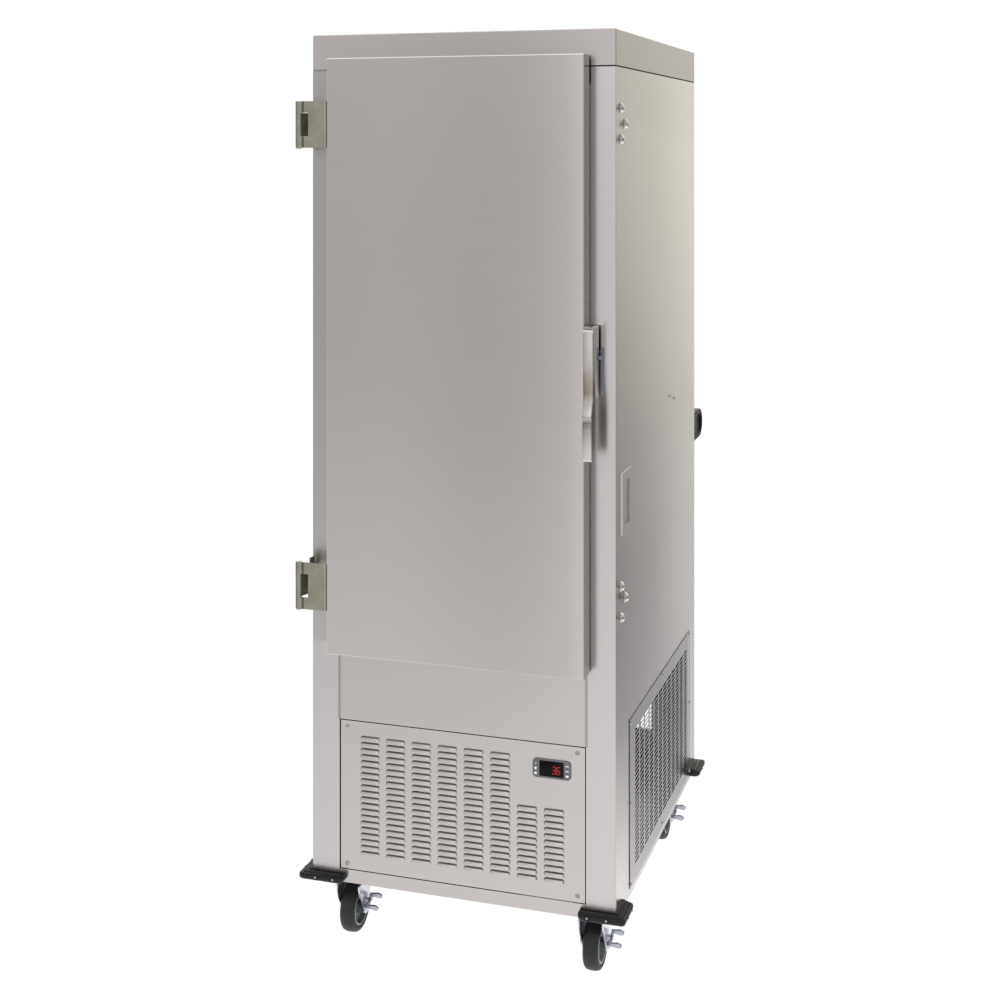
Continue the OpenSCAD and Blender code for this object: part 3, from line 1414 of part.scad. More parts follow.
// Brake rocker on the right leg: a bar on the stud with a tab bent outwards at each end
module brake() {
    translate([fork_out + brake_off, brake_y, brake_z]) rotate([brake_tilt, 0, 0]) difference() {
        union() {
            slab([0, brake_t], [-brake_half, brake_half], [-brake_w / 2, brake_w / 2]);
            for (y = [-brake_half, brake_half - brake_t])
                slab([0, tab_l], [y, y + brake_t], [-brake_w / 2, brake_w / 2]);
        }
        bar_x([-cut, 0, 0], stud_r + run_fit, brake_t + 2 * cut);
    }
}

module caster_fork_front_left() color(zinc) at_caster(-1, front_row) fork();
module caster_fork_front_right() color(zinc) at_caster(1, front_row) fork();
module caster_fork_rear_left() color(zinc) at_caster(-1, rear_row) fork();
module caster_fork_rear_right() color(zinc) at_caster(1, rear_row) fork();
module caster_wheel_front_left() color(dark_plastic) at_caster(-1, front_row) wheel();
module caster_wheel_front_right() color(dark_plastic) at_caster(1, front_row) wheel();
module caster_wheel_rear_left() color(dark_plastic) at_caster(-1, rear_row) wheel();
module caster_wheel_rear_right() color(dark_plastic) at_caster(1, rear_row) wheel();
module caster_brake_front_left() color(zinc) at_caster(-1, front_row) brake();
module caster_brake_front_right() color(zinc) at_caster(1, front_row) brake();
module caster_brake_rear_left() color(zinc) at_caster(-1, rear_row) brake();
module caster_brake_rear_right() color(zinc) at_caster(1, rear_row) brake();

side_panel_left();
side_panel_right();
top_cap();
cap_gasket();
rear_panel();
front_frame();
base_frame();
machine_deck();
liner();
foam_insulation();
breaker_frame();
louver_panel();
side_grille();
rear_guard();
panel_screws();
corner_bumpers();
controller();
controller_lens();
key_left_top();
key_left_middle();
key_left_bottom();
key_right_top();
key_right_middle();
key_right_bottom();
hinge_leaves_cabinet();
hinge_pins();
hinge_screws();
hole_plugs();
card_holder();
push_bar();
push_bar_brackets();
latch_strike();
compressor();
condenser_coil();
fan_shroud();
condenser_fan();
evaporator_coil();
evaporator_fan();
air_duct();
tray_slides();
door_outer_pan();
door_inner_pan();
door_foam();
door_gasket();
hinge_leaves_door();
latch_housing();
latch_lever();
caster_plates();
caster_fork_front_left();
caster_fork_front_right();
caster_fork_rear_left();
caster_fork_rear_right();
caster_wheel_front_left();
caster_wheel_front_right();
caster_wheel_rear_left();
caster_wheel_rear_right();
caster_brake_front_left();
caster_brake_front_right();
caster_brake_rear_left();
caster_brake_rear_right();
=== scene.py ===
# Stainless air curtain refrigerator on casters. Metres, +Z up; the door faces -Y.
import math

import bmesh
import bpy
from mathutils import Matrix, Vector


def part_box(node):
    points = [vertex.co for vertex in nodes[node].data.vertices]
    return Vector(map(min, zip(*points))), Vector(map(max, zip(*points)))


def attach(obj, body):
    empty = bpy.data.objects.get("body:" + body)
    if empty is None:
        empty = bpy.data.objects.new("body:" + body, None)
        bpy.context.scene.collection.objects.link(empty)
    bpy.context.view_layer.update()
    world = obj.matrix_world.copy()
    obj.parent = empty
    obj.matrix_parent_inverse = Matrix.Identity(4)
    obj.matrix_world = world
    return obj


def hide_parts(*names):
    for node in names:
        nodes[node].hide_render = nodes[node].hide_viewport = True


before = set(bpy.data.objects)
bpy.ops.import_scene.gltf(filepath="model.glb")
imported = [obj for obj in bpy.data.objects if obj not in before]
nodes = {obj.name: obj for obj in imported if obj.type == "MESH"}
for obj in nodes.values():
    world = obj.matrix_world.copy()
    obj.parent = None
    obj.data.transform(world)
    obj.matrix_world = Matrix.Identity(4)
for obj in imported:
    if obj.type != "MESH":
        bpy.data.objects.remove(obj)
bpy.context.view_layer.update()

# Studio
# A white room with soft light from all round. Brushed sheet mirrors the grey walls of the room, lighter
# towards the floor and darker above the horizon. The floor itself is a pale sheet without shadows.
scene = bpy.context.scene
scene.view_settings.view_transform = "Standard"
scene.view_settings.look = "None"


class Wire:
    """A socket in a node tree. Arithmetic on wires adds Math nodes, and node() adds any other node."""

    def __init__(self, tree, socket=None):
        self.tree = tree
        self.socket = socket

    def node(self, kind, inputs=(), out=0, **settings):
        made = self.tree.nodes.new(kind)
        for key, value in settings.items():
            setattr(made, key, value)
        for key, value in dict(inputs).items():
            if isinstance(value, Wire):
                self.tree.links.new(value.socket, made.inputs[key])
            else:
                made.inputs[key].default_value = value
        return Wire(self.tree, made.outputs[out] if made.outputs else None)

    def calc(self, operation, a, b=0.0):
        return self.node("ShaderNodeMath", {0: a, 1: b}, operation=operation)

    def __add__(self, other):
        return self.calc("ADD", self, other)

    __radd__ = __add__

    def __sub__(self, other):
        return self.calc("SUBTRACT", self, other)

    def __rsub__(self, other):
        return self.calc("SUBTRACT", other, self)

    def __mul__(self, other):
        return self.calc("MULTIPLY", self, other)

    def __truediv__(self, other):
        return self.calc("DIVIDE", self, other)

    def size(self):
        return self.calc("ABSOLUTE", self)

    def axes(self):
        parts = self.node("ShaderNodeSeparateXYZ", {0: self}).socket.node
        return [Wire(self.tree, parts.outputs[k]) for k in range(3)]

    def ramp(self, tones):
        """Greys or colours by place, with straight steps between."""
        made = self.node("ShaderNodeValToRGB", {0: self})
        stops = made.socket.node.color_ramp.elements
        while len(stops) < len(tones):
            stops.new(0.5)
        for stop, (place, tone) in zip(stops, tones):
            stop.position = place
            stop.color = (*tone, 1) if isinstance(tone, tuple) else (tone, tone, tone, 1)
        return made

    def band(self, low, high):
        """0 at low and 1 at high, smooth between, also where low is the larger."""
        return self.node("ShaderNodeMapRange", {"Value": self, "From Min": low, "From Max": high},
                         interpolation_type="SMOOTHSTEP")

    def blend(self, a, b):
        """Colour a where this is 0 and colour b where it is 1."""
        return self.node("ShaderNodeMix", {0: self, 6: a, 7: b}, out=2, data_type="RGBA")

    def scaled(self, factor):
        return self.node("ShaderNodeVectorMath", {0: self, "Scale": factor}, operation="SCALE")

    def place(self):
        """Where a point of the surface lies on the object."""
        return self.node("ShaderNodeTexCoord", out="Object")

    def facing(self):
        """The three axes of the surface's direction."""
        return self.node("ShaderNodeNewGeometry", out="Normal").axes()

    def noise(self, scale, detail=2.0, roughness=0.5):
        return self.node("ShaderNodeTexNoise", {"Vector": self.place(), "Scale": scale, "Detail": detail,
                                                "Roughness": roughness})

    def bump(self, strength, distance):
        """The surface's direction, bent by this height."""
        return self.node("ShaderNodeBump", {"Strength": strength, "Distance": distance, "Height": self})


def linked(name, data):
    """A new object in the scene."""
    made = bpy.data.objects.new(name, data)
    scene.collection.objects.link(made)
    return made


def finish(name):
    """A new material, and a wire in its empty tree."""
    made = bpy.data.materials.new(name)
    made.use_nodes = True
    made.node_tree.nodes.clear()
    return made, Wire(made.node_tree)


room = bpy.data.worlds.new("white_room")
scene.world = room
room.use_nodes = True
room.node_tree.nodes.clear()
air = Wire(room.node_tree)
right, back, up = air.node("ShaderNodeTexCoord", out="Generated").axes()
level = up * 0.5 + 0.5
front_wall = level.ramp([(0.0, 1.1), (0.24, 1.08), (0.29, 0.96), (0.333, 0.79), (0.373, 0.63), (0.43, 0.48),
                         (0.49, 0.49), (0.53, 0.57), (0.62, 0.77), (0.75, 1.12), (0.85, 1.0), (0.92, 0.5),
                         (0.96, 0.34), (1.0, 0.22)])
rear_wall = level.ramp([(0.0, 1.35), (0.25, 1.40), (0.305, 1.42), (0.34, 1.31), (0.371, (1.20, 1.20, 1.19)),
                        (0.43, (1.07, 1.05, 0.97)), (0.50, (1.11, 1.09, 0.98)), (0.62, (1.15, 1.12, 1.03)),
                        (0.8, 0.9), (1.0, 0.8)])
aside = right / (back.size() + 0.001)
pale_strip = aside.band(-0.292, -0.225) * aside.band(0.1, -0.1) * up.band(-0.42, -0.14)
grey_strips = aside.band(-0.38, -0.31) * aside.band(-0.25, -0.31) + aside.band(-0.440, -0.449)
front_shade = (1.0 - grey_strips * up.band(-0.38, -0.2) * 0.09) * (1.0 - aside.band(0.0, 0.2) * 0.08)
rear_shade = aside.ramp([(0.181, 0.0), (0.204, 0.5), (0.232, 1.0)]) * level.ramp([
    (0.290, 0.0), (0.320, 0.82), (0.340, 1.0), (0.38, 1.0), (0.41, 0.95), (0.43, 0.87), (0.46, 0.70),
    (0.52, 0.54), (0.6, 0.42), (0.8, 0.0)])
walls = back.band(-0.25, 0.25).blend(front_wall.scaled((pale_strip * 0.68 + 1.0) * front_shade),
                                     rear_wall.scaled(1.0 - rear_shade))
mirrored = air.node("ShaderNodeLightPath", out="Is Glossy Ray")
glow = air.node("ShaderNodeBackground", {"Color": mirrored.blend((1, 1, 1, 1), walls), "Strength": 1.0})
air.node("ShaderNodeOutputWorld", {"Surface": glow})

lens = bpy.data.cameras.new("camera")
lens.lens = 57.31
lens.sensor_width = 36
lens.shift_y = -0.3495
camera = linked("camera", lens)
camera.location = (1.058, -3.47965, 1.6545)
camera.rotation_euler = (math.radians(90), 0, math.radians(17.69))
scene.camera = camera


def softbox(name, place, aim, width, height, power):
    light = bpy.data.lights.new(name, "AREA")
    light.shape = "RECTANGLE"
    light.size = width
    light.size_y = height
    light.energy = power
    lamp = linked(name, light)
    lamp.location = place
    lamp.rotation_euler = (Vector(aim) - Vector(place)).to_track_quat("-Z", "Y").to_euler()
    lamp.visible_camera = False
    lamp.visible_glossy = False


softbox("key_softbox", (-2.6, -3.4, 3.6), (0, 0, 0.9), 2.2, 2.2, 40)
softbox("side_softbox", (3.4, -1.2, 2.8), (0.3, 0, 0.9), 1.6, 2.4, 30)

sheet = bpy.data.meshes.new("pale_floor")
sheet.from_pydata([(-60, -60, -0.001), (60, -60, -0.001), (60, 60, -0.001), (-60, 60, -0.001)], [],
                  [(0, 1, 2, 3)])
floor = linked("pale_floor", sheet)
floor_paint, paper = finish("pale_floor_paint")
lit = paper.node("ShaderNodeEmission", {"Color": (1, 1, 1, 1), "Strength": 1.02})
paper.node("ShaderNodeOutputMaterial", {"Surface": lit})
sheet.materials.append(floor_paint)
floor.visible_glossy = False

# Cabinet shell
# Folded sheets of brushed stainless steel: two side panels that run round the front edges as stiles,
# the apron, the rear panel, the base frame, and a top cap on a dark seal strip.
FRONT = -0.43065
REAR = 0.38935
SIDE = 0.325
SEAL_SETBACK = 0.0009


def shade(wire, colour, rough, relief=None, metallic=0.0, more=()):
    """Closes a material's tree with one principled shader. Relief is a direction, and more names sockets."""
    sockets = {"Base Color": colour, "Roughness": rough, "Metallic": metallic, **dict(more)}
    if relief:
        sockets["Normal"] = relief
    wire.node("ShaderNodeOutputMaterial", {"Surface": wire.node("ShaderNodeBsdfPrincipled", sockets)})


def tone(red, green, blue):
    """The colour of a paint chip given in screen values."""
    linear = [((v / 255 + 0.055) / 1.055) ** 2.4 if v > 10 else v / 255 / 12.92 for v in (red, green, blue)]
    return (*linear, 1)


def grain_of(wire, run, across):
    """Fine streaks that run level round the cabinet, and along X on level faces."""
    place = wire.place()
    upward = wire.facing()[2].size()
    upright = wire.node("ShaderNodeMapping", {"Vector": place, "Scale": (run, run, across)})
    level_face = wire.node("ShaderNodeMapping", {"Vector": place, "Scale": (run, across, run)})
    flat = upward.calc("GREATER_THAN", upward, 0.7)
    way = wire.node("ShaderNodeMix", {0: flat, 4: upright, 5: level_face}, out=1, data_type="VECTOR")
    return wire.node("ShaderNodeTexNoise", {"Vector": way, "Scale": 1.0, "Detail": 3.0, "Roughness": 0.7})


def brushed_steel(name, colour, rough, twist=0.25, relief=0.10, spread=0.05, side_face_shade=0.0, tint_and_painted_light=None):
    """Sheet brushed level. A painted shade can darken the faces that look along X, and a further colour can
    be laid over it, mostly painted light and shade.
    """
    made, wire = finish(name)
    place = wire.place()
    streaks = grain_of(wire, 14.0, 620.0)
    cloud = wire.noise(2.3)
    speck = wire.noise(420.0)
    worn = (streaks - 0.5) * 0.16 + (cloud - 0.5) * 0.05 + (speck - 0.5) * 0.10
    dull = tuple(v * 0.9 for v in colour) + (1,)
    bright = tuple(min(1.0, v * 1.1) for v in colour) + (1,)
    sideways = wire.facing()[0].size()
    x, y, z = place.axes()
    # Painted shade: the faces inside the shell, low down in the machine bay, are darkened.
    inside = x.size().band(SIDE - 0.0005, SIDE - 0.0009) * y.band(FRONT + 0.0009, FRONT + 0.0014)
    painted_bay_shade = inside * y.band(REAR - 0.00085, REAR - 0.00135) * z.band(0.53, 0.52)
    colour = (worn + 0.5).blend(dull, bright)
    colour = colour.scaled((1.0 - sideways * sideways * side_face_shade) * (1.0 - painted_bay_shade * 0.88))
    if tint_and_painted_light:
        colour = wire.node("ShaderNodeVectorMath", {0: colour, 1: tint_and_painted_light(wire, place)}, operation="MULTIPLY")
    shade(wire, colour, (streaks - 0.5) * spread + (cloud - 0.5) * 0.04 + rough,
          (streaks * 0.7 + speck * 0.3).bump(relief, 0.0003), 1.0,
          {"Anisotropic": 0.76, "Anisotropic Rotation": twist})
    return made


def shell_painted_light(wire, place):
    """Painted shade dims the stile beside the door, as the door's shadow, and the joints of the apron;
    painted reflections lighten the stiles and the right side.
    """
    x, y, z = place.axes()
    ahead = y.band(-0.42, -0.43)
    beside = x.ramp([(0.2725, 0.86), (0.279, 0.74), (0.284, 0.79), (0.288, 0.92), (0.291, 1.0)])
    door_span = z.band(0.628, 0.638) * z.band(1.848, 1.842) * ahead
    joint = x.size().ramp([(0.2616, 0.0), (0.2626, 1.0), (0.2650, 1.0), (0.2660, 0.0)])
    apron_span = z.band(0.474, 0.476) * z.band(0.640, 0.630) * ahead
    dim = (1.0 - (1.0 - beside) * door_span) * (1.0 - joint * apron_span * 0.93)
    stile = x.size().band(0.2636, 0.2656) * ahead
    rear = y.band(-0.15, 0.30) * z.band(0.45, 0.70)
    high = z.band(1.05, 1.20) * z.band(1.78, 1.62)
    low = z.band(0.42, 0.52) * z.band(0.95, 0.78) * y.band(0.15, -0.15)
    strip = y.band(0.326, 0.334) * z.band(0.55, 0.45)
    lift = rear * 0.09 + high * 0.08 - low * 0.10 + strip * 0.12
    lift = lift * x.band(SIDE - 0.002, SIDE - 0.0005) + 1.0
    tint = wire.node("ShaderNodeCombineXYZ", {"X": stile * 0.07 + lift, "Y": stile * 0.08 + lift,
                                              "Z": stile * 0.10 + lift})
    return tint.scaled(dim)


def cap_painted_light(wire, place):
    """Painted light: the cap's front falls off to the right, and its right side towards the rear."""
    x, y, z = place.axes()
    along_front = 0.12 - x.band(-0.42, 0.22) * 0.18
    along_side = 0.10 - y.band(-0.52, 0.46) * 0.28
    return along_front * y.band(-0.425, -0.430) + along_side * x.band(SIDE - 0.002, SIDE - 0.0005) + 1.0


shell_steel = brushed_steel("brushed_steel_shell", (0.64, 0.60, 0.585), 0.23, tint_and_painted_light=shell_painted_light)
cap_steel = brushed_steel("brushed_steel_cap", (0.62, 0.575, 0.565), 0.24, side_face_shade=0.27, tint_and_painted_light=cap_painted_light)


def mesh_from(form):
    made = bpy.data.meshes.new("form")
    form.to_mesh(made)
    form.free()
    return made


def closed(form):
    """A mesh from a form, with its faces turned outwards."""
    bmesh.ops.remove_doubles(form, verts=form.verts, dist=1e-6)
    bmesh.ops.recalc_face_normals(form, faces=form.faces)
    return mesh_from(form)


def put(name, mesh, material, body, stands_for=(), smooth=None):
    """A mesh or an open form becomes a piece that moves with a body and stands for CAD nodes."""
    mesh = closed(mesh) if isinstance(mesh, bmesh.types.BMesh) else mesh
    mesh.name = name
    mesh.materials.clear()
    mesh.materials.append(material)
    mesh.polygons.foreach_set("material_index", [0] * len(mesh.polygons))
    if smooth:
        mesh.shade_smooth()
        mesh.set_sharp_from_angle(angle=math.radians(smooth))
    made = linked(name, mesh)
    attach(made, body)
    if stands_for:
        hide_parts(*stands_for)
    return made


def dress(material, *names):
    """A CAD node keeps its shape and gets this finish."""
    for name in names:
        nodes[name].material_slots[0].material = material


def form_of(node, flat):
    """A node's shape with its level faces joined, where they meet within an angle in degrees."""
    form = bmesh.new()
    form.from_mesh(nodes[node].data)
    bmesh.ops.remove_doubles(form, verts=form.verts, dist=1e-6)
    bmesh.ops.dissolve_limit(form, angle_limit=math.radians(flat), verts=form.verts, edges=form.edges)
    return form


def rounded(form, edges, radius, segments, name, material, body, node, smooth=None):
    """Rounds edges of a node's shape and puts it in the node's place."""
    bmesh.ops.bevel(form, geom=edges, offset=radius, segments=segments, affect="EDGES", profile=0.5,
                    clamp_overlap=True)
    return put(name, mesh_from(form), material, body, [node], smooth)


def eased(node, radius, corners, material, body, segments=2):
    """A copy of a sheet metal node with rounded folds. Corners name pairs of sides of its box, as x+y-."""
    lo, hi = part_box(node)
    form = form_of(node, 0.5)
    folds = []
    for corner in corners.split():
        sides = [("xyz".index(s[0]), (lo, hi)[s[1] == "+"]) for s in (corner[:2], corner[2:])]
        folds += [e for e in form.edges if e not in folds
                  and all(abs(v.co[axis] - limit[axis]) < 1e-5 for v in e.verts for axis, limit in sides)]
    return rounded(form, folds, radius, segments, node + "_sheet", material, body, node)


eased("side_panel_left", 0.0014, "x-y- x-y+", shell_steel, "cabinet")
eased("side_panel_right", 0.0014, "x+y- x+y+", shell_steel, "cabinet")
eased("top_cap", 0.0022, "x-y- x+y- x-y+ x+y+ z+x- z+x+ z+y- z+y+", cap_steel, "cabinet")
dress(shell_steel, "front_frame", "rear_panel", "machine_deck", "base_frame")

rubber, wire = finish("black_seal_strip")
pores = wire.noise(600.0)
left_end = wire.place().axes()[0].band(-0.262, -0.268)
black = pores.blend(tone(24, 24, 25), tone(42, 42, 44))
shade(wire, left_end.blend(black, tone(132, 131, 130)), 0.85, pores.bump(0.2, 0.0004))

# The strip's outer faces are moved out to just behind the sheets
seal_low, seal_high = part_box("cap_gasket")
seal_reach = SIDE - SEAL_SETBACK - seal_high[0]
seal = nodes["cap_gasket"].data.copy()
for corner in seal.vertices:
    for axis in (0, 1):
        if corner.co[axis] > seal_high[axis] - 0.0001:
            corner.co[axis] += seal_reach
        if corner.co[axis] < seal_low[axis] + 0.0001:
            corner.co[axis] -= seal_reach
put("cap_seal", seal, rubber, "cabinet", ["cap_gasket"])

# Service panel
# One sheet with lanced louvres in eight columns, the two columns below the controller being short. Each
# louvre is a hood pressed out of the sheet: joined above and at its rounded ends, and open below.
PANEL_LEFT = -0.261
PANEL_RIGHT = 0.262
PANEL_LOW = 0.166
PANEL_HIGH = 0.473
LOUVRE_X = -0.1955
LOUVRE_Z = 0.441
LOUVRE_STEP_X = 0.0563
LOUVRE_STEP_Z = 0.0125
LOUVRE_R = 0.0042
PANEL_GAUGE = 0.0012


def new_tree(name, sockets):
    """A wire in a new geometry tree, and wires from its inputs, which are given as label and kind."""
    tree = bpy.data.node_groups.new(name, "GeometryNodeTree")
    tree.interface.new_socket("Geometry", in_out="OUTPUT", socket_type="NodeSocketGeometry")
    for label, kind in sockets:
        tree.interface.new_socket(label, in_out="INPUT", socket_type="NodeSocket" + kind)
    given = tree.nodes.new("NodeGroupInput")
    return Wire(tree), {socket.name: Wire(tree, socket) for socket in given.outputs if socket.name}


def parts_on(points, ask, turns, weld=None):
    """Ends a tree with its part set on points, made real, welded within a distance and given a finish."""
    part = points.node("GeometryNodeObjectInfo", {"Object": ask["Part"]}, out="Geometry")
    made = points.node("GeometryNodeInstanceOnPoints", {"Points": points, "Instance": part, **turns})
    made = made.node("GeometryNodeRealizeInstances", {"Geometry": made})
    if weld:
        made = made.node("GeometryNodeMergeByDistance", {"Geometry": made, "Distance": weld})
    made = made.node("GeometryNodeSetMaterial", {"Geometry": made, "Material": ask["Finish"]})
    made.node("NodeGroupOutput", {0: made})
    return points.tree


def rows_and_columns():
    """Node tree that repeats a cell in columns along X and rows up Z, welds it and gives it a finish."""
    wire, ask = new_tree("rows_and_columns", (
        ("Columns", "Int"), ("Rows", "Int"), ("Column step", "Float"), ("Row step", "Float"),
        ("Part", "Object"), ("Finish", "Material")))
    grid = wire.node("GeometryNodeMeshGrid", {
        "Size X": (ask["Columns"] - 1.0) * ask["Column step"], "Vertices X": ask["Columns"],
        "Size Y": (ask["Rows"] - 1.0) * ask["Row step"], "Vertices Y": ask["Rows"]})
    stood = wire.node("GeometryNodeTransform", {"Geometry": grid, "Rotation": (math.pi / 2, 0, 0)})
    return parts_on(stood, ask, {}, 0.00001)


grid_tree = rows_and_columns()


def evaluated(host):
    """The mesh that an object's modifier makes; the object goes."""
    made = bpy.data.meshes.new_from_object(host.evaluated_get(bpy.context.evaluated_depsgraph_get()))
    host.modifiers.clear()
    bpy.data.objects.remove(host)
    return made


def run_tree(tree, host_mesh, values):
    """The mesh that a node tree makes, with its inputs set by name before it is first run."""
    host = linked("tree_host", host_mesh)
    modifier = host.modifiers.new("tree", "NODES")
    modifier.node_group = tree
    for item in tree.interface.items_tree:
        if item.in_out == "INPUT" and item.name in values:
            modifier[item.identifier] = values[item.name]
    return evaluated(host)


def thickened(mesh, depth):
    """The same sheet with a back, depth behind its face."""
    host = linked("sheet_host", mesh)
    wall = host.modifiers.new("wall", "SOLIDIFY")
    wall.thickness = depth
    wall.offset = -1.0
    return evaluated(host)


def mesh_of(corners, faces=()):
    made = bpy.data.meshes.new("shape")
    made.from_pydata(corners, [], faces)
    made.update()
    return made


def arc(cx, cy, r, start, stop, steps):
    """Points from one angle to another, both in degrees and both included."""
    turns = [math.radians(start + (stop - start) * k / steps) for k in range(steps + 1)]
    return [(cx + r * math.cos(t), cy + r * math.sin(t)) for t in turns]


def circle(r, count, start=0.0):
    return arc(0, 0, r, start, start + 360, count)[:-1]


def louvre_cell(length, height, out, step_x, step_z):
    """A hood in its cell of plain sheet: a steep rim round the top and the ends, a flat face, open below."""
    def rim(inset, y):
        top = arc(LOUVRE_R - length / 2, height / 2 - LOUVRE_R, LOUVRE_R - inset, 180, 90, 4)
        top += arc(length / 2 - LOUVRE_R, height / 2 - LOUVRE_R, LOUVRE_R - inset, 90, 0, 4)
        flat = [(inset - length / 2, -height / 2)] + top + [(length / 2 - inset, -height / 2)]
        return [(u, y, v) for u, v in flat]

    x, z = step_x / 2, step_z / 2
    foot = rim(0.0, 0.0)
    border = [(-x, 0, -height / 2), (-x, 0, foot[1][2]), (-x, 0, foot[2][2]), (-x, 0, z)]
    border += [(foot[k][0], 0, z) for k in (4, 5, 6, 7)]
    border += [(x, 0, z), (x, 0, foot[9][2]), (x, 0, foot[10][2]), (x, 0, -height / 2)]
    lines = [border, foot, rim(0.0003, -0.0003), rim(0.0020, -out * 0.86), rim(0.0023, -out * 0.96),
             rim(0.0030, -out)]
    count = len(foot)
    corners = [point for line in lines for point in line] + [(-x, 0, -z), (x, 0, -z)]
    faces = [(count * j + k, count * (j + 1) + k, count * (j + 1) + k + 1, count * j + k + 1)
             for j in range(len(lines) - 1) for k in range(count - 1)]
    faces.append(tuple(range(count * len(lines) - 1, count * (len(lines) - 1) - 1, -1)))
    faces.append((len(corners) - 2, len(corners) - 1, count - 1, 2 * count - 1, count, 0))
    return mesh_of(corners, faces)


def rim_shade(wire, place):
    """Painted shade: darkens the faces that look up or to the left, where the rims of the hoods look dark.
    """
    x, y, z = wire.facing()
    shaded_faces = z.band(0.12, 0.55) + x.band(-0.12, -0.55)
    return 1.0 - shaded_faces.calc("MINIMUM", shaded_faces, 1.0) * 0.64


panel_steel = brushed_steel("brushed_steel_service_panel", (0.655, 0.615, 0.605), 0.24, tint_and_painted_light=rim_shade)
hood = linked("louvre", louvre_cell(0.0425, 0.008, 0.0034, LOUVRE_STEP_X, LOUVRE_STEP_Z))
pressed = bmesh.new()
for first, columns, rows in ((0, 6, 20), (6, 2, 12)):
    block = run_tree(grid_tree, bpy.data.meshes.new("louvres"), {
        "Columns": columns, "Rows": rows, "Column step": LOUVRE_STEP_X, "Row step": LOUVRE_STEP_Z,
        "Part": hood, "Finish": panel_steel})
    centre_x = LOUVRE_X + (first + (columns - 1) / 2) * LOUVRE_STEP_X
    centre_z = LOUVRE_Z - (19 - (rows - 1) / 2) * LOUVRE_STEP_Z
    block.transform(Matrix.Translation((centre_x, FRONT, centre_z)))
    pressed.from_mesh(block)
bpy.data.objects.remove(hood)
left = LOUVRE_X - LOUVRE_STEP_X / 2
middle = left + 6 * LOUVRE_STEP_X
end = left + 8 * LOUVRE_STEP_X
high = LOUVRE_Z + LOUVRE_STEP_Z / 2
low = high - 20 * LOUVRE_STEP_Z
short = low + 12 * LOUVRE_STEP_Z
for x0, x1, z0, z1 in ((PANEL_LEFT, left, low, high), (end, PANEL_RIGHT, low, high),
                       (middle, end, short, high), (PANEL_LEFT, PANEL_RIGHT, high, PANEL_HIGH),
                       (PANEL_LEFT, PANEL_RIGHT, PANEL_LOW, low)):
    pressed.faces.new([pressed.verts.new((x, FRONT, z))
                       for x, z in ((x0, z0), (x1, z0), (x1, z1), (x0, z1))])
put("service_panel", thickened(mesh_from(pressed), PANEL_GAUGE), panel_steel, "cabinet",
    ["louver_panel"], smooth=30)

# Side grille
# A flat sheet of brushed steel with rows of punched, round-ended slots, low on the right side. It is
# screwed over the opening of the machine bay, which takes in its air through it.
GRILLE_FRONT = -0.31465
GRILLE_REAR = 0.32535
GRILLE_LOW = 0.1515
GRILLE_HIGH = 0.495
GRILLE_OUT = SIDE + 0.0015
SLOT_STEP_Y = 0.0466
SLOT_STEP_Z = 0.0094
GAUGE = 0.0003
FRAME_GAUGE = 0.0010


def slot_cell(length, height, step_x, step_z, depth):
    """A round-ended slot in its cell of sheet, with a face, a back and the slot's wall."""
    end_r = height / 2
    inner, outer = [], []
    for turn in (-90, -45, 0, 45, 90, 90, 135, 180, 225, 270):
        side = 1 if len(inner) < 5 else -1
        x = side * (length / 2 - end_r) + end_r * math.cos(math.radians(turn))
        z = end_r * math.sin(math.radians(turn))
        inner.append((x, z))
        outer.append((side * step_x / 2 if turn not in (-90, 90, 270) else side * (length / 2 - end_r),
                      step_z / 2 * (0 if turn in (0, 180) else math.copysign(1, z))))
    corners = [(x, y, z) for y in (0, depth) for ring in (inner, outer) for x, z in ring]
    faces = []
    for k in range(10):
        n = (k + 1) % 10
        faces.append((k, n, 10 + n, 10 + k)[::-1])
        faces.append((20 + k, 20 + n, 30 + n, 30 + k))
        faces.append((k, n, 20 + n, 20 + k))
    return mesh_of(corners, faces)


def grille_wash(wire, place):
    """The grille is a duller sheet, but for its margin at the rear."""
    return place.axes()[1].band(0.294, 0.302) * 0.20 + 0.79


grille_steel = brushed_steel("brushed_steel_grille", (0.535, 0.51, 0.515), 0.25, tint_and_painted_light=grille_wash)
hole = linked("slot", slot_cell(0.0385, 0.0056, SLOT_STEP_Y, SLOT_STEP_Z, GAUGE))
field = run_tree(grid_tree, bpy.data.meshes.new("slots"), {
    "Columns": 12, "Rows": 30, "Column step": SLOT_STEP_Y, "Row step": SLOT_STEP_Z, "Part": hole,
    "Finish": grille_steel})
bpy.data.objects.remove(hole)
middle_y = (GRILLE_FRONT + GRILLE_REAR) / 2
middle_z = (GRILLE_LOW + GRILLE_HIGH) / 2
field.transform(Matrix.Translation((middle_y, 0, middle_z)))
plate = bmesh.new()
plate.from_mesh(field)
half_y = 6 * SLOT_STEP_Y
half_z = 15 * SLOT_STEP_Z
for x0, x1, z0, z1 in ((GRILLE_FRONT, GRILLE_REAR, middle_z + half_z, GRILLE_HIGH),
                       (GRILLE_FRONT, GRILLE_REAR, GRILLE_LOW, middle_z - half_z),
                       (GRILLE_FRONT, middle_y - half_y, middle_z - half_z, middle_z + half_z),
                       (middle_y + half_y, GRILLE_REAR, middle_z - half_z, middle_z + half_z)):
    box = bmesh.ops.create_cube(plate, size=1.0)["verts"]
    bmesh.ops.scale(plate, vec=(x1 - x0, FRAME_GAUGE, z1 - z0), verts=box)
    bmesh.ops.translate(plate, vec=((x0 + x1) / 2, FRAME_GAUGE / 2, (z0 + z1) / 2), verts=box)
grille = mesh_from(plate)
grille.transform(Matrix.Translation((GRILLE_OUT, 0, 0)) @ Matrix.Rotation(math.pi / 2, 4, "Z"))
put("grille", grille, grille_steel, "cabinet", ["side_grille"])

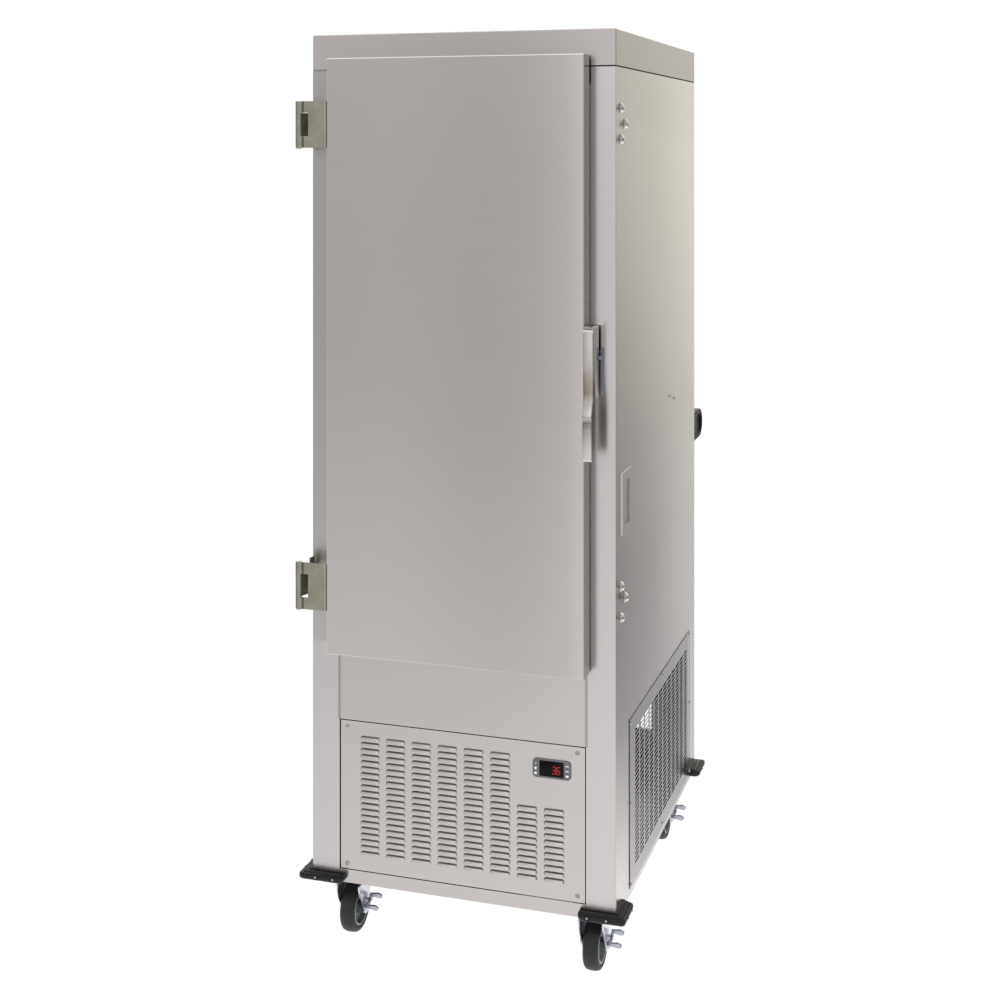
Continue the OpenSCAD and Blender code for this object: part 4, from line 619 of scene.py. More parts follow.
# Screws
# Pan head screws of bright steel with a cross recess, through the service panel, the side grille, the
# side sheet and the bumpers, and larger ones through the hinge leaves.
PANEL_SCREW = (0.0048, 0.0048, 0.0024)
GRILLE_SCREW = (0.0038, 0.0038, 0.0018)
BUMPER_SCREW = (0.0026, 0.0026, 0.0012)
HINGE_SCREW = (0.0055, 0.0055, 0.0022)
BUMPER_OUT = 0.0225
BUMPER_SCREW_Z = 0.148
HINGE_HEIGHTS = (0.758, 1.708)
HINGE_HOLES = ((0.036, 0.031), (0.072, 0), (0.036, -0.031))


def skinned(form, rings, ends=(0, -1)):
    """Faces between rings of points of like count, and over the rings named as ends."""
    rows = [[form.verts.new(p) for p in ring] for ring in rings]
    for lower, upper in zip(rows, rows[1:]):
        for k in range(len(lower)):
            n = (k + 1) % len(lower)
            form.faces.new((lower[k], lower[n], upper[n], upper[k]))
    for end in ends:
        form.faces.new(rows[end])


def lofted(rings, ends=(0, -1)):
    form = bmesh.new()
    skinned(form, rings, ends)
    return closed(form)


def screw_mesh():
    """A head of radius 1 and height 1 on the plane z = 0, with a cross recess."""
    a, b = 0.11, 0.46
    cross = ((b, -a), (b, a), (a, a), (a, b), (-a, b), (-a, a), (-b, a), (-b, -a), (-a, -a), (-a, -b),
             (a, -b), (a, -a))
    head_line = ((1.0, 0.0), (0.99, 0.25), (0.86, 0.68), (0.60, 0.92))
    rings = [[(x, y, h) for x, y in circle(r, 12, -15)] for r, h in head_line]
    rings += [[(x, y, 0.97) for x, y in cross], [(x * 0.8, y * 0.8, 0.35) for x, y in cross]]
    return lofted(rings, (-1,))


def scatter_tree():
    """Node tree that sets a part on each point, aimed by the points' aim and sized by their size."""
    wire, ask = new_tree("set_on_points", (
        ("Points", "Geometry"), ("Part", "Object"), ("Most turn", "Float"), ("Seed", "Int"),
        ("Finish", "Material")))
    aim, size = (wire.node("GeometryNodeInputNamedAttribute", {"Name": label}, data_type="FLOAT_VECTOR")
                 for label in ("aim", "size"))
    aimed = wire.node("FunctionNodeAlignRotationToVector", {"Vector": aim}, axis="Z")
    angle = wire.node("FunctionNodeRandomValue", {"Min": 0.0, "Max": ask["Most turn"], "Seed": ask["Seed"]},
                      out=1, data_type="FLOAT")
    own = wire.node("FunctionNodeAxisAngleToRotation", {"Axis": (0, 0, 1), "Angle": angle})
    both = wire.node("FunctionNodeRotateRotation", {"Rotation": aimed, "Rotate By": own},
                     rotation_space="LOCAL")
    return parts_on(ask["Points"], ask, {"Rotation": both, "Scale": size})


point_tree = scatter_tree()


def set_on(spots, part, material, seed):
    """Parts on spots given as (place, aim, size along its own axes)."""
    places, aims, sizes = zip(*spots)
    host = mesh_of(places)
    for label, values in (("aim", aims), ("size", sizes)):
        layer = host.attributes.new(label, "FLOAT_VECTOR", "POINT")
        layer.data.foreach_set("vector", [v for row in values for v in row])
    return run_tree(point_tree, host, {"Part": part, "Most turn": math.tau / 4, "Seed": seed,
                                       "Finish": material})


def mottled(name, low, high, scale, rough, gain, metallic=1.0, relief=0.1, deep=0.0002, detail=3.0):
    """Metal between two tones by one noise, which also sets how its roughness and its fine relief vary."""
    made, wire = finish(name)
    mottle = wire.noise(scale, detail)
    shade(wire, mottle.blend((*low, 1), (*high, 1)), mottle * gain + rough, mottle.bump(relief, deep),
          metallic)
    return made


bright_metal = mottled("bright_screw_steel", (0.60, 0.60, 0.61), (0.80, 0.80, 0.80), 900.0, 0.16, 0.12)
screw_grey = mottled("grey_screw_steel", (0.36, 0.36, 0.355), (0.60, 0.60, 0.59), 900.0, 0.14, 0.12)
spots = [((x, FRONT, z), (0, -1, 0), PANEL_SCREW) for x in (-0.2464, 0.2464) for z in (0.178, 0.461)]
spots += [((GRILLE_OUT, GRILLE_FRONT + 0.007 + y * 0.626, GRILLE_LOW + 0.007 + z * 0.3295), (1, 0, 0),
           GRILLE_SCREW) for y in (0.0, 0.5, 1.0) for z in (0.0, 0.5, 1.0) if (y, z) != (0.5, 0.5)]
spots += [((SIDE, FRONT + y, z), (1, 0, 0), PANEL_SCREW) for y, z in ((0.522, 1.095), (0.567, 1.084))]
bumper_corners = [(side, edge, outwards) for side in (-1, 1) for edge, outwards in ((FRONT, -1), (REAR, 1))]
bumper_holes = []
for side, edge, outwards in bumper_corners:
    face_y = edge + outwards * BUMPER_OUT
    face_x = side * (SIDE + BUMPER_OUT)
    for run in (0.054, 0.015):
        bumper_holes.append(((side * (SIDE - run), face_y, BUMPER_SCREW_Z), (0, outwards, 0)))
    for run in (0.04464, 0.0124):
        bumper_holes.append(((face_x, edge - outwards * run, BUMPER_SCREW_Z), (side, 0, 0)))
spots += [(place, aim, BUMPER_SCREW) for place, aim in bumper_holes]
head = linked("screw", screw_mesh())
put("panel_screw_heads", set_on(spots, head, screw_grey, 3), screw_grey, "cabinet",
    ["panel_screws"], smooth=35)
spots = [((-SIDE - 0.003, FRONT + y, h + z), (-1, 0, 0), HINGE_SCREW) for h in HINGE_HEIGHTS
         for y, z in HINGE_HOLES]
put("hinge_screw_heads", set_on(spots, head, bright_metal, 5), bright_metal, "cabinet",
    ["hinge_screws"], smooth=35)
bpy.data.objects.remove(head)
dress(bright_metal, "hinge_pins")

# Hole plugs
# Pressed domes of polished steel that close the spare hinge holes in the right side, each with a flat
# flange round it.
PLUG = (0.0110, 0.0110, 0.0085)
spots = [((SIDE, FRONT + y, h + z), (1, 0, 0), PLUG) for h in HINGE_HEIGHTS for y, z in HINGE_HOLES]
profile = [(1.0, 0.0), (1.0, 0.10), (0.97, 0.16), (0.88, 0.17), (0.85, 0.22)]
for turn in (20, 40, 60, 78):
    profile.append((0.85 * math.cos(math.radians(turn)), 0.22 + 0.78 * math.sin(math.radians(turn))))
button = linked("plug", lofted([[(x, y, h) for x, y in circle(r, 24)] for r, h in profile], (-1,)))
pressed_nickel, wire = finish("pressed_nickel")
rub = wire.noise(500.0, 3.0)
# Painted shade darkens the faces of the dome that look to the front, and the flange round it.
shaded_faces = wire.facing()[1].band(-0.10, -0.70) * 0.5
shaded_flange = wire.place().axes()[0].band(SIDE + 0.0020, SIDE + 0.0012) * 0.42
polish = rub.blend((0.84, 0.81, 0.76, 1), (0.96, 0.93, 0.88, 1))
shade(wire, polish.scaled((1.0 - shaded_faces) * (1.0 - shaded_flange)), rub * 0.10 + 0.20, rub.bump(0.08, 0.0002), 1.0)
put("plug_domes", set_on(spots, button, pressed_nickel, 7), pressed_nickel, "cabinet",
    ["hole_plugs"], smooth=40)
bpy.data.objects.remove(button)

# Controller
# A panel thermostat: a grey moulded bezel with rounded ends, a black glossy window with a red two-digit
# display, and six soft keys with small plain signs, three on each side.
BEZEL_X = 0.194
BEZEL_Z = 0.424
WINDOW_Z = BEZEL_Z + 0.0010
DIGIT_W = 0.0068
DIGIT_H = 0.0138
DIGIT_PITCH = 0.0093
BAR_T = 0.0012
KEY_X = {"left": BEZEL_X - 0.0325, "right": BEZEL_X + 0.0325}
KEY_Z = {"top": BEZEL_Z + 0.0096, "middle": BEZEL_Z, "bottom": BEZEL_Z - 0.0096}


def moulded(name, low, high, rough, pitch=900.0, relief=0.15, gleam=0.5):
    """Moulded plastic: two near tones as on a screen, a fine eggshell texture and a faint gloss change."""
    made, wire = finish(name)
    skin = wire.noise(pitch)
    cloud = wire.noise(18.0, 3.0)
    shade(wire, (skin * 0.5 + cloud * 0.5).blend(tone(*low), tone(*high)), (cloud - 0.5) * 0.12 + rough,
          skin.bump(relief, 0.0003), more={"Specular IOR Level": gleam})
    return made


def round_box(width, height, radius, bulge=0.0, steps=6):
    """Outline of a rounded rectangle about the origin whose ends bulge a little."""
    x, z = width / 2 - radius, height / 2 - radius
    points = []
    for cx, cz, start in ((x, -z, -90), (x, z, 0), (-x, z, 90), (-x, -z, 180)):
        points += arc(cx, cz, radius, start, start + 90, steps)
    return [(u + math.copysign(bulge * (1 - (2 * v / height) ** 2), u), v) for u, v in points]


def on_front(outline, x, z, out):
    """An outline stood up about a place on the front, this far out from the sheet."""
    return [(x + u, FRONT - out, z + v) for u, v in outline]


def printed(outlines):
    """Flat faces that look to the front."""
    form = bmesh.new()
    for outline in outlines:
        face = form.faces.new([form.verts.new(p) for p in outline])
        face.normal_update()
        if face.normal.y > 0:
            face.normal_flip()
    return mesh_from(form)


bezel_grey = moulded("grey_bezel_plastic", (86, 87, 89), (112, 113, 115), 0.42)
levels = [(0.0, 0.0), (0.0, 0.0021), (0.0006, 0.0032), (0.0017, 0.0039), (0.003, 0.004)]
bezel = [on_front(round_box(0.0785 - 2 * inset, 0.038 - 2 * inset, 0.0075 - inset * 0.8, 0.0008),
                  BEZEL_X, BEZEL_Z, out) for inset, out in levels]
rim = round_box(0.0515, 0.0328, 0.001)
bezel.append(on_front(rim, BEZEL_X, WINDOW_Z, 0.004))
bezel.append(on_front([(x * 0.975, z * 0.96) for x, z in rim], BEZEL_X, WINDOW_Z, 0.0034))
put("controller_bezel", lofted(bezel), bezel_grey, "cabinet", ["controller"], smooth=40)

window, wire = finish("black_display_window")
film = wire.noise(60.0, 3.0)
shade(wire, film.blend(tone(8, 6, 7), tone(16, 12, 13)), film * 0.06 + 0.12,
      more={"Specular IOR Level": 0.12})
glass = [on_front(round_box(0.0500 - 2 * inset, 0.0314 - 2 * inset, 0.0012), BEZEL_X, WINDOW_Z, out)
         for inset, out in ((0, 0.0030), (0, 0.0038), (0.0004, 0.0042))]
put("display_window", lofted(glass), window, "cabinet", ["controller_lens"], smooth=40)

# Seven-segment digits: the bars that are lit, on a slant
LIT = {"3": "abgcd", "6": "acdefg"}
BAR = {"a": (0, 1, 1), "b": (0.5, 0.5, 0), "c": (0.5, -0.5, 0), "d": (0, -1, 1), "e": (-0.5, -0.5, 0),
       "f": (-0.5, 0.5, 0), "g": (0, 0, 1)}
bars = []
for index, digit in enumerate("36"):
    for name in LIT[digit]:
        u, v, flat = BAR[name]
        tip = (DIGIT_W if flat else DIGIT_H / 2) / 2 - 0.0004
        half = BAR_T / 2
        outline = [(-tip, 0), (half - tip, half), (tip - half, half), (tip, 0), (tip - half, -half),
                   (half - tip, -half)]
        if not flat:
            outline = [(-q, p) for p, q in outline]
        outline = [(u * DIGIT_W + p, v * DIGIT_H / 2 + q) for p, q in outline]
        bars.append(on_front([(p + q * 0.14, q) for p, q in outline],
                             BEZEL_X + 0.0052 + index * DIGIT_PITCH, BEZEL_Z - 0.0010, 0.00432))
glowing, wire = finish("red_display_light")
red = wire.noise(500.0, 1.0).blend((0.42, 0.004, 0.007, 1), (0.60, 0.012, 0.016, 1))
shade(wire, (0.25, 0.0, 0.0, 1), 0.5, more={"Emission Color": red, "Emission Strength": 0.9})
put("display_digits", printed(bars), glowing, "cabinet")


def bar_sign(width, height, rise):
    return [(u, v + rise) for u, v in round_box(width, height, height / 2 - 0.00001, steps=4)]


def arch_sign(r, rise):
    bow = arc(0, 0, r, 0, 180, 12) + arc(0, 0, r / 2, 180, 0, 12)
    return [(u, v * 0.9 + rise) for u, v in bow]


SIGNS = {"left_top": [circle(0.0010, 20)], "left_middle": [circle(0.0024, 20)],
         "left_bottom": [bar_sign(0.0062, 0.0026, -0.0006), bar_sign(0.0038, 0.0014, 0.0015)],
         "right_top": [arch_sign(0.0032, -0.0012)], "right_middle": [arch_sign(0.0032, -0.0015)],
         "right_bottom": [bar_sign(0.0064, 0.0030, 0.0002), bar_sign(0.0040, 0.0010, -0.0019)]}
sign_white = moulded("white_key_print", (228, 230, 229), (250, 251, 250), 0.5)
for label, signs in SIGNS.items():
    key = "key_" + label
    column, row = label.split("_")
    x, z = KEY_X[column], KEY_Z[row]
    cap = [on_front(round_box(0.008 - 2 * inset, 0.006 - 2 * inset, 0.0018), x, z, out)
           for inset, out in ((0, 0.0030), (0, 0.0041), (0.0003, 0.0045), (0.0012, 0.0047))]
    put(key + "_cap", lofted(cap), bezel_grey, key, [key], smooth=40)
    sign = printed([on_front(outline, x, z, 0.00475) for outline in signs])
    put(key + "_sign", sign, sign_white, key)

# Corner bumpers
# Moulded black rubbery plastic round each lower corner, with a sloped top edge and a ledge against the
# sheet, held by two screws on each side in shallow dished seats.
BUMPER_LOW = 0.140
BUMPER_LEGS = (0.075, 0.062)

# Height and inset of the moulding from its foot up, and of the ledge
BUMPER_BODY = [(0.0, 0.0052), (0.0005, 0.0034), (0.0016, 0.0018), (0.0032, 0.0006), (0.0050, 0.0),
               (0.0112, 0.0), (0.0124, 0.0005), (0.0133, 0.0018), (0.0139, 0.0052), (0.0132, 0.0058),
               (0.0132, 0.0072), (0.0150, 0.0080), (0.0158, 0.0092)]
BUMPER_LEDGE = [(0.0150, 0.0165), (0.0174, 0.0167), (0.0180, 0.0176)]
bumper_black = moulded("black_bumper_plastic", (10, 10, 10), (23, 23, 23), 0.40, pitch=700.0,
                       relief=0.2, gleam=0.35)


def corner_outline(out, front_leg, side_leg):
    """Plan of a bumper for the front right corner, whose own corner is at the origin."""
    end_r = max(0.002, out / 2)
    nose = 0.3 * out
    plan = [(-front_leg, 0.0)] + arc(end_r - front_leg, end_r - out, end_r, 180, 270, 6)
    plan += arc(out - nose, nose - out, nose, -90, 0, 6)
    return plan + arc(out - end_r, side_leg - end_r, end_r, 0, 90, 6) + [(0.0, side_leg), (0.0, 0.0)]


bumpers = bmesh.new()
for side, edge, outwards in bumper_corners:
    for line in (BUMPER_BODY, BUMPER_LEDGE):
        rings = []
        for z, inset in line:
            plan = corner_outline(BUMPER_OUT - inset, *(leg - min(inset, 0.004) for leg in BUMPER_LEGS))
            rings.append([(side * (SIDE + x), edge - outwards * y, BUMPER_LOW + z) for x, y in plan])
        skinned(bumpers, rings)
# Dark discs under the bumper screws, which paint the shade of their dished seats.
seats = bmesh.new()
for (x, y, z), (ax, ay, _) in bumper_holes:
    skinned(seats, [[(x + ax * h + ay * u, y + ay * h + ax * u, z + v) for u, v in circle(r, 20)]
                    for r, h in ((0.0055, -0.001), (0.0055, 0.0001), (0.0051, 0.0003), (0.0046, 0.0001))])
seat_shade_black = moulded("black_screw_seat_shade", (6, 6, 6), (12, 12, 12), 0.8)
put("bumper_screw_seats", seats, seat_shade_black, "cabinet", smooth=32)
put("bumpers", bumpers, bumper_black, "cabinet", ["corner_bumpers"], smooth=32)


# Card holder
# A small window frame folded from stainless sheet and fixed flat on the right side. It is open at the rear,
# where a card slides in, and its edges towards the front and above carry a painted highlight.
def holder_painted_light(wire, place):
    """Painted highlights on the edges towards the front and above, and painted shade on the floor of the
    slot.
    """
    x, y, z = place.axes()
    turn_x, turn_y, turn_z = wire.facing()
    bright = turn_y.band(-0.4, -0.8) * y.band(-0.3825, -0.3840) * 1.1 + turn_z.band(0.4, 0.8) * 0.2
    return bright - x.band(SIDE + 0.0020, SIDE + 0.0016) * turn_x.band(0.7, 0.9) * 0.7 + 1.0


holder_steel = brushed_steel("brushed_steel_card_holder", (0.64, 0.60, 0.585), 0.23, tint_and_painted_light=holder_painted_light)
eased("card_holder", 0.0004, "x+y- x+z- x+z+", holder_steel, "cabinet")


# Door
# An overlay door: a folded outer pan of brushed stainless, an inner sheet with a raised field, foam between
# them, and a grey magnetic gasket that rests on the white breaker strip of the opening.
def door_painted_light(wire, place):
    """Painted light: the sheet is a little lighter at the left and along its right edge, and a painted
    highlight runs along the fold at its top.
    """
    x, y, z = place.axes()
    across = (x + 0.5).ramp([(0.23, 1.05), (0.36, 1.04), (0.44, 1.01), (0.52, 0.97), (0.60, 0.94),
                             (0.68, 0.94), (0.735, 0.97), (0.765, 1.06)])
    return across * (z.band(1.8416, 1.8424) * y.band(-0.4755, -0.4765) * 0.55 + 1.0)


door_steel = brushed_steel("brushed_steel_door", (0.64, 0.60, 0.585), 0.23, side_face_shade=0.22, tint_and_painted_light=door_painted_light)
eased("door_outer_pan", 0.0022, "y-x- y-x+ y-z- y-z+ x-z- x-z+ x+z- x+z+", door_steel, "door",
      segments=3)
liner_steel = brushed_steel("plain_steel_liner", (0.66, 0.65, 0.64), 0.22, relief=0.04, spread=0.03)
dress(liner_steel, "door_inner_pan", "liner", "air_duct", "tray_slides")
vinyl = moulded("grey_gasket_vinyl", (188, 187, 186), (204, 203, 202), 0.55, pitch=500.0)
dress(vinyl, "door_gasket")
dress(moulded("white_breaker_plastic", (214, 216, 216), (230, 231, 230), 0.35), "breaker_frame")

foam, wire = finish("yellow_foam")
cells = wire.node("ShaderNodeTexVoronoi", {"Vector": wire.place(), "Scale": 260.0})
shade(wire, cells.blend(tone(205, 184, 120), tone(232, 216, 160)), 0.95, cells.bump(0.5, 0.001))
dress(foam, "door_foam", "foam_insulation")

# Hinges
# Cast and plated hinges on the left: a leaf on the door's edge, a leaf and a neck on the side, and a round
# knuckle that stands out past the door, all with a dull olive passivated finish.
plated, wire = finish("olive_plated_hinge")
crystals = wire.noise(330.0, 4.0, 0.7)
# Painted light across the front faces: painted shade at both edges, painted highlights down the knuckle and
# along the right edge, and a painted shadow in the groove beside the knuckle.
across = (wire.place().axes()[0] + 0.345) / 0.08
painted_light_strips = across.ramp([(0.0, 0.55), (0.07, 0.62), (0.11, 1.0), (0.16, 1.3), (0.20, 1.25), (0.215, 0.40),
                      (0.262, 0.36), (0.28, 1.0), (0.845, 1.0), (0.86, 1.35), (0.878, 1.3), (0.892, 0.5)])
ahead = wire.facing()[1].band(-0.5, -0.8)
olive = (crystals * 0.6 + wire.noise(26.0, 3.0) * 0.4).ramp([(0.3, (0.215, 0.205, 0.160)),
                                                             (0.7, (0.385, 0.370, 0.300))])
shade(wire, olive.scaled(1.0 - ahead + painted_light_strips * ahead), crystals * 0.25 + 0.28, crystals.bump(0.25, 0.0005),
      0.75)


def softened(node, radius, material, body):
    """A copy of a rigid node with small rounded edges all over."""
    form = form_of(node, 1.0)
    sharp = [e for e in form.edges if len(e.link_faces) == 2 and e.calc_face_angle(0) > math.radians(50)
             and e.calc_length() > radius * 2.2]
    return rounded(form, sharp, radius, 2, node + "_eased", material, body, node, 35)


softened("hinge_leaves_cabinet", 0.0005, plated, "cabinet")
softened("hinge_leaves_door", 0.0005, plated, "door")

# Latch
# A stainless housing on the door's edge, a strike on the stile, and a bent stainless lever that hangs from a
# pin at the top of the housing: flat at the top, hollowed in the middle, with a rounded nose to pull on.
LEVER_X = 0.2825
LEVER_HALF = 0.0097
LEVER_EDGE = 0.0011

# Front line of the lever from its top to its foot, as height and distance
LEVER_LINE = [(1.305, -0.48435), (1.256, -0.48435), (1.242, -0.4839), (1.23, -0.4827), (1.215, -0.4817),
              (1.195, -0.4815), (1.182, -0.482), (1.174, -0.4836), (1.166, -0.4866), (1.158, -0.4902),
              (1.151, -0.4932), (1.145, -0.4954), (1.1405, -0.4967), (1.137, -0.49715), (1.135, -0.4968),
              (1.1332, -0.4958), (1.131, -0.4938), (1.1262, -0.4928), (1.124, -0.4936), (1.121, -0.4946),
              (1.115, -0.4952), (1.09, -0.4953), (1.056, -0.49445), (1.053, -0.494), (1.052, -0.4932)]

# Half of the lever's cross section from its back round to its face, as width and distance from the line
LEVER_SECTION = [(LEVER_HALF, 0.005), (LEVER_HALF, LEVER_EDGE),
                 (LEVER_HALF - LEVER_EDGE * 0.3, LEVER_EDGE * 0.3), (LEVER_HALF - LEVER_EDGE, 0.0),
                 (0.0048, -0.00012)]
latch_steel = brushed_steel("brushed_steel_latch", (0.70, 0.685, 0.665), 0.24, twist=0.0, relief=0.06)
softened("latch_housing", 0.0006, latch_steel, "door")
dress(moulded("dark_strike_plating", (98, 102, 110), (122, 126, 134), 0.3), "latch_strike")


def lever_painted_reflection(wire, place):
    """Painted reflections: the hollow is warm and dim, the nose has a painted highlight with a brown band
    below it, and painted shade darkens the side faces.
    """
    x, y, z = place.axes()
    tint = ((z - 1.05) / 0.26).ramp([
        (0.031, 0.97), (0.088, 0.97), (0.165, 0.86), (0.238, 0.67), (0.262, (0.5, 0.49, 0.47)),
        (0.277, (0.34, 0.31, 0.28)), (0.298, (0.40, 0.37, 0.33)), (0.319, 0.53), (0.342, 0.83),
        (0.373, 0.76), (0.404, 0.68), (0.435, 0.57), (0.477, (0.51, 0.48, 0.45)),
        (0.538, (0.56, 0.52, 0.47)), (0.615, (0.64, 0.60, 0.56)), (0.681, (0.76, 0.72, 0.70)),
        (0.742, 0.88), (0.873, 1.03)])
    return tint.scaled(1.0 - (x - LEVER_X).size().band(0.0090, 0.0096) * 0.6)


section = LEVER_SECTION + [(0.0, -0.00018)] + [(-u, v) for u, v in reversed(LEVER_SECTION)]
pull = [[(LEVER_X + u, y + v, z) for u, v in section] for z, y in LEVER_LINE]
lever_steel = brushed_steel("brushed_steel_lever", (0.69, 0.655, 0.63), 0.24, relief=0.05, tint_and_painted_light=lever_painted_reflection)
put("lever_pull", lofted(pull), lever_steel, "latch_lever", ["latch_lever"], smooth=32)
hook = bmesh.new()
hook.from_mesh(nodes["latch_lever"].data)
bmesh.ops.bisect_plane(hook, geom=hook.verts[:] + hook.edges[:] + hook.faces[:], dist=1e-6,
                       plane_co=(0, -0.4797, 0), plane_no=(0, 1, 0), clear_inner=True)
put("lever_hook", hook, lever_steel, "latch_lever", ["latch_lever"], smooth=35)

# Push bar
# A straight tube across the back, to push the cabinet by. It is held between two moulded black brackets on
# the rear panel, each with a round back and a dished outer face.
BAR_Z = 0.975
BAR_REACH = 0.108
BRACKET_R = 0.0345
bar_black = moulded("black_push_bar_plastic", (4, 4, 4), (9, 9, 9), 0.34, pitch=500.0, relief=0.08,
                    gleam=0.14)
dress(bar_black, "push_bar")


def bracket_plan(inset):
    """Round-backed outline of a bracket in Y and Z, drawn inset from its edge."""
    r = BRACKET_R - inset
    back = arc(REAR + BAR_REACH - BRACKET_R, BAR_Z, r, -90, 90, 20)
    return back + [(REAR + inset, BAR_Z + r), (REAR + inset, BAR_Z - r)]


brackets = bmesh.new()
for side in (-1, 1):
    skinned(brackets, [[(side * x, y, z) for y, z in bracket_plan(inset)] for x, inset in (
        (0.305, 0.002), (0.306, 0.0), (0.3225, 0.0), (0.3243, 0.0008), (0.325, 0.0028), (0.325, 0.0075),
        (0.3240, 0.0095), (0.3215, 0.0105), (0.3205, 0.014))])
put("push_brackets", brackets, bar_black, "cabinet", ["push_bar_brackets"], smooth=32)

# Casters
# Swivel casters of bright zinc plated pressings, each with a black rubber tyre on a pale hub, and a brake
# rocker on the stud of its right leg.
AXLE_Z = 0.0508
TRAIL = 0.033
SWIVELS = [("front", -0.31765, "left", -0.263), ("front", -0.31765, "right", 0.263),
           ("rear", 0.32535, "left", -0.263), ("rear", 0.32535, "right", 0.263)]
STUD_Y = 0.002
STUD_Z = 0.014
ROCKER_OUT = 0.0315
ROCKER_TILT = 37
CROWN_LOW = 0.1066
CROWN_HIGH = 0.1098
LEG_IN = 0.0233
LEG_OUT = 0.0265
AXLE_HALF = 0.0315

# Right halves of the turned parts, as radius and distance from the middle
TYRE_HALF = [(0.0372, 0.0145), (0.0386, 0.0156), (0.0420, 0.0160), (0.0455, 0.0155), (0.0482, 0.0134),
             (0.0499, 0.0100), (0.0506, 0.0058), (0.0508, 0.0018)]
HUB_HALF = [(0.0054, 0.0226), (0.0105, 0.0226), (0.0118, 0.0216), (0.0122, 0.0120), (0.0140, 0.0086),
            (0.0270, 0.0080), (0.0300, 0.0092), (0.0318, 0.0142), (0.0330, 0.0152), (0.0362, 0.0152),
            (0.0372, 0.0146)]
RIM_HALF = [(0.0334, 0.0146), (0.0338, 0.0156), (0.0350, 0.0160), (0.0362, 0.0156), (0.0366, 0.0146)]

# The ball race on the crown, the axle, its nuts and the rocker's stud, as radius and distance along them
RACE_STEPS = [(0.0180, -0.002), (0.0205, 0.0), (0.0240, 0.0035), (0.0240, 0.0060), (0.0226, 0.0085),
              (0.0226, 0.0112)]
AXLE_STEPS = [(0.0050, 0.0), (0.0050, 2 * AXLE_HALF)]
NUT_STEPS = [(0.0075, 0.0), (0.0075, 0.0034), (0.0066, 0.0044)]
STUD_STEPS = [(0.0060, 0.0), (0.0060, 0.0078), (0.0035, 0.0079), (0.0035, 0.0115), (0.0055, 0.0116),
              (0.0055, 0.0128), (0.0040, 0.0134)]

# Outlines of the pressings, the dark plate of painted shade and the leg about the axle and the crown about
# the swivel
SHADE_PLATE_LINE = arc(0, 0, 0.0135, -170, 0, 10) + [
    (0.0155, 0.012), (0.0190, 0.030), (0.0250, 0.043), (0.0400, 0.0500), (-0.0405, 0.0500), (-0.0410, 0.043),
    (-0.0385, 0.034), (-0.0335, 0.024), (-0.0265, 0.014), (-0.0190, 0.004)]
LEG_LINE = arc(0, 0, 0.0120, -180, 0, 12) + [
    (0.0150, 0.012), (0.0175, 0.030), (0.0240, 0.043), (0.0400, 0.0505), (0.0560, 0.0535), (0.0570, 0.0590),
    (-0.0395, 0.0590), (-0.0400, 0.053), (-0.0360, 0.042), (-0.0275, 0.027), (-0.0175, 0.012)]
CROWN_LINE = [(-0.0265, -0.0360), (-0.0225, -0.0410), (0.0225, -0.0410), (0.0265, -0.0360)]
CROWN_LINE += [(0.0265 * c, 0.0245 * s) for c, s in arc(0, 0, 1, 10, 170, 10)]
ROCKER_LINE = [(-0.0150, -0.0055), (-0.0120, -0.0070), (0.0120, -0.0070), (0.0150, -0.0055),
               (0.0150, 0.0055), (0.0120, 0.0070), (-0.0120, 0.0070), (-0.0150, 0.0055)]
PAD_LINE = [(0.0010, -0.0055), (0.0100, -0.0070)]
PAD_LINE += [(0.0165 + 0.0085 * c, 0.0092 * s) for c, s in arc(0, 0, 1, -90, 90, 9)]
PAD_LINE += [(0.0100, 0.0070), (0.0010, 0.0055)]
zinc = mottled("bright_zinc_plating", (0.60, 0.61, 0.70), (0.80, 0.81, 0.88), 90.0, 0.20, 0.18,
               metallic=0.85, relief=0.12, deep=0.0005, detail=4.0)
grey_zinc = mottled("grey_zinc_plating", (0.26, 0.27, 0.32), (0.42, 0.43, 0.49), 120.0, 0.26, 0.18,
                    metallic=0.85, relief=0.12, deep=0.0005, detail=4.0)
tyre_rubber, wire = finish("black_tyre_rubber")
pores = wire.noise(450.0, 3.0)
dust = wire.noise(30.0, 4.0)
shade(wire, (pores * 0.4 + dust * 0.6).blend(tone(20, 19, 20), tone(42, 41, 42)), dust * 0.2 + 0.5,
      pores.bump(0.25, 0.0004))
hub_grey = moulded("grey_hub_plastic", (58, 64, 64), (84, 90, 90), 0.4)
# A pale ring at the hub's rim, which paints a highlight along its edge.
rim_highlight_grey = moulded("pale_rim_highlight_plastic", (132, 140, 138), (164, 170, 168), 0.4)
shade_plate_grey = moulded("dark_shade_plate_plastic", (48, 52, 62), (66, 70, 82), 0.4)


def turned(half, centre, steps):
    """A closed ring turned about a line along X through a centre, from the right half of its profile."""
    x, y, z = centre
    profile = half + [(r, -u) for r, u in reversed(half)]
    rings = [[(x + u, y + r * c, z + r * s) for r, u in profile] for c, s in circle(1.0, steps)]
    return lofted(rings + rings[:1], ())


def slab(form, outline, x0, x1, y=0.0, z=0.0):
    """A plate between two planes across X, with its outline in Y and Z about a place."""
    skinned(form, [[(x, y + u, z + v) for u, v in outline] for x in (x0, x1)])


def stack(form, origin, along, radii, steps=28):
    """Round steps on a line, as pairs of radius and distance along its direction."""
    axis = Vector(along)
    u = axis.orthogonal().normalized()
    v = axis.cross(u)
    skinned(form, [[Vector(origin) + axis * h + (u * c + v * s) * r for c, s in circle(1.0, steps)]
                   for r, h in radii])


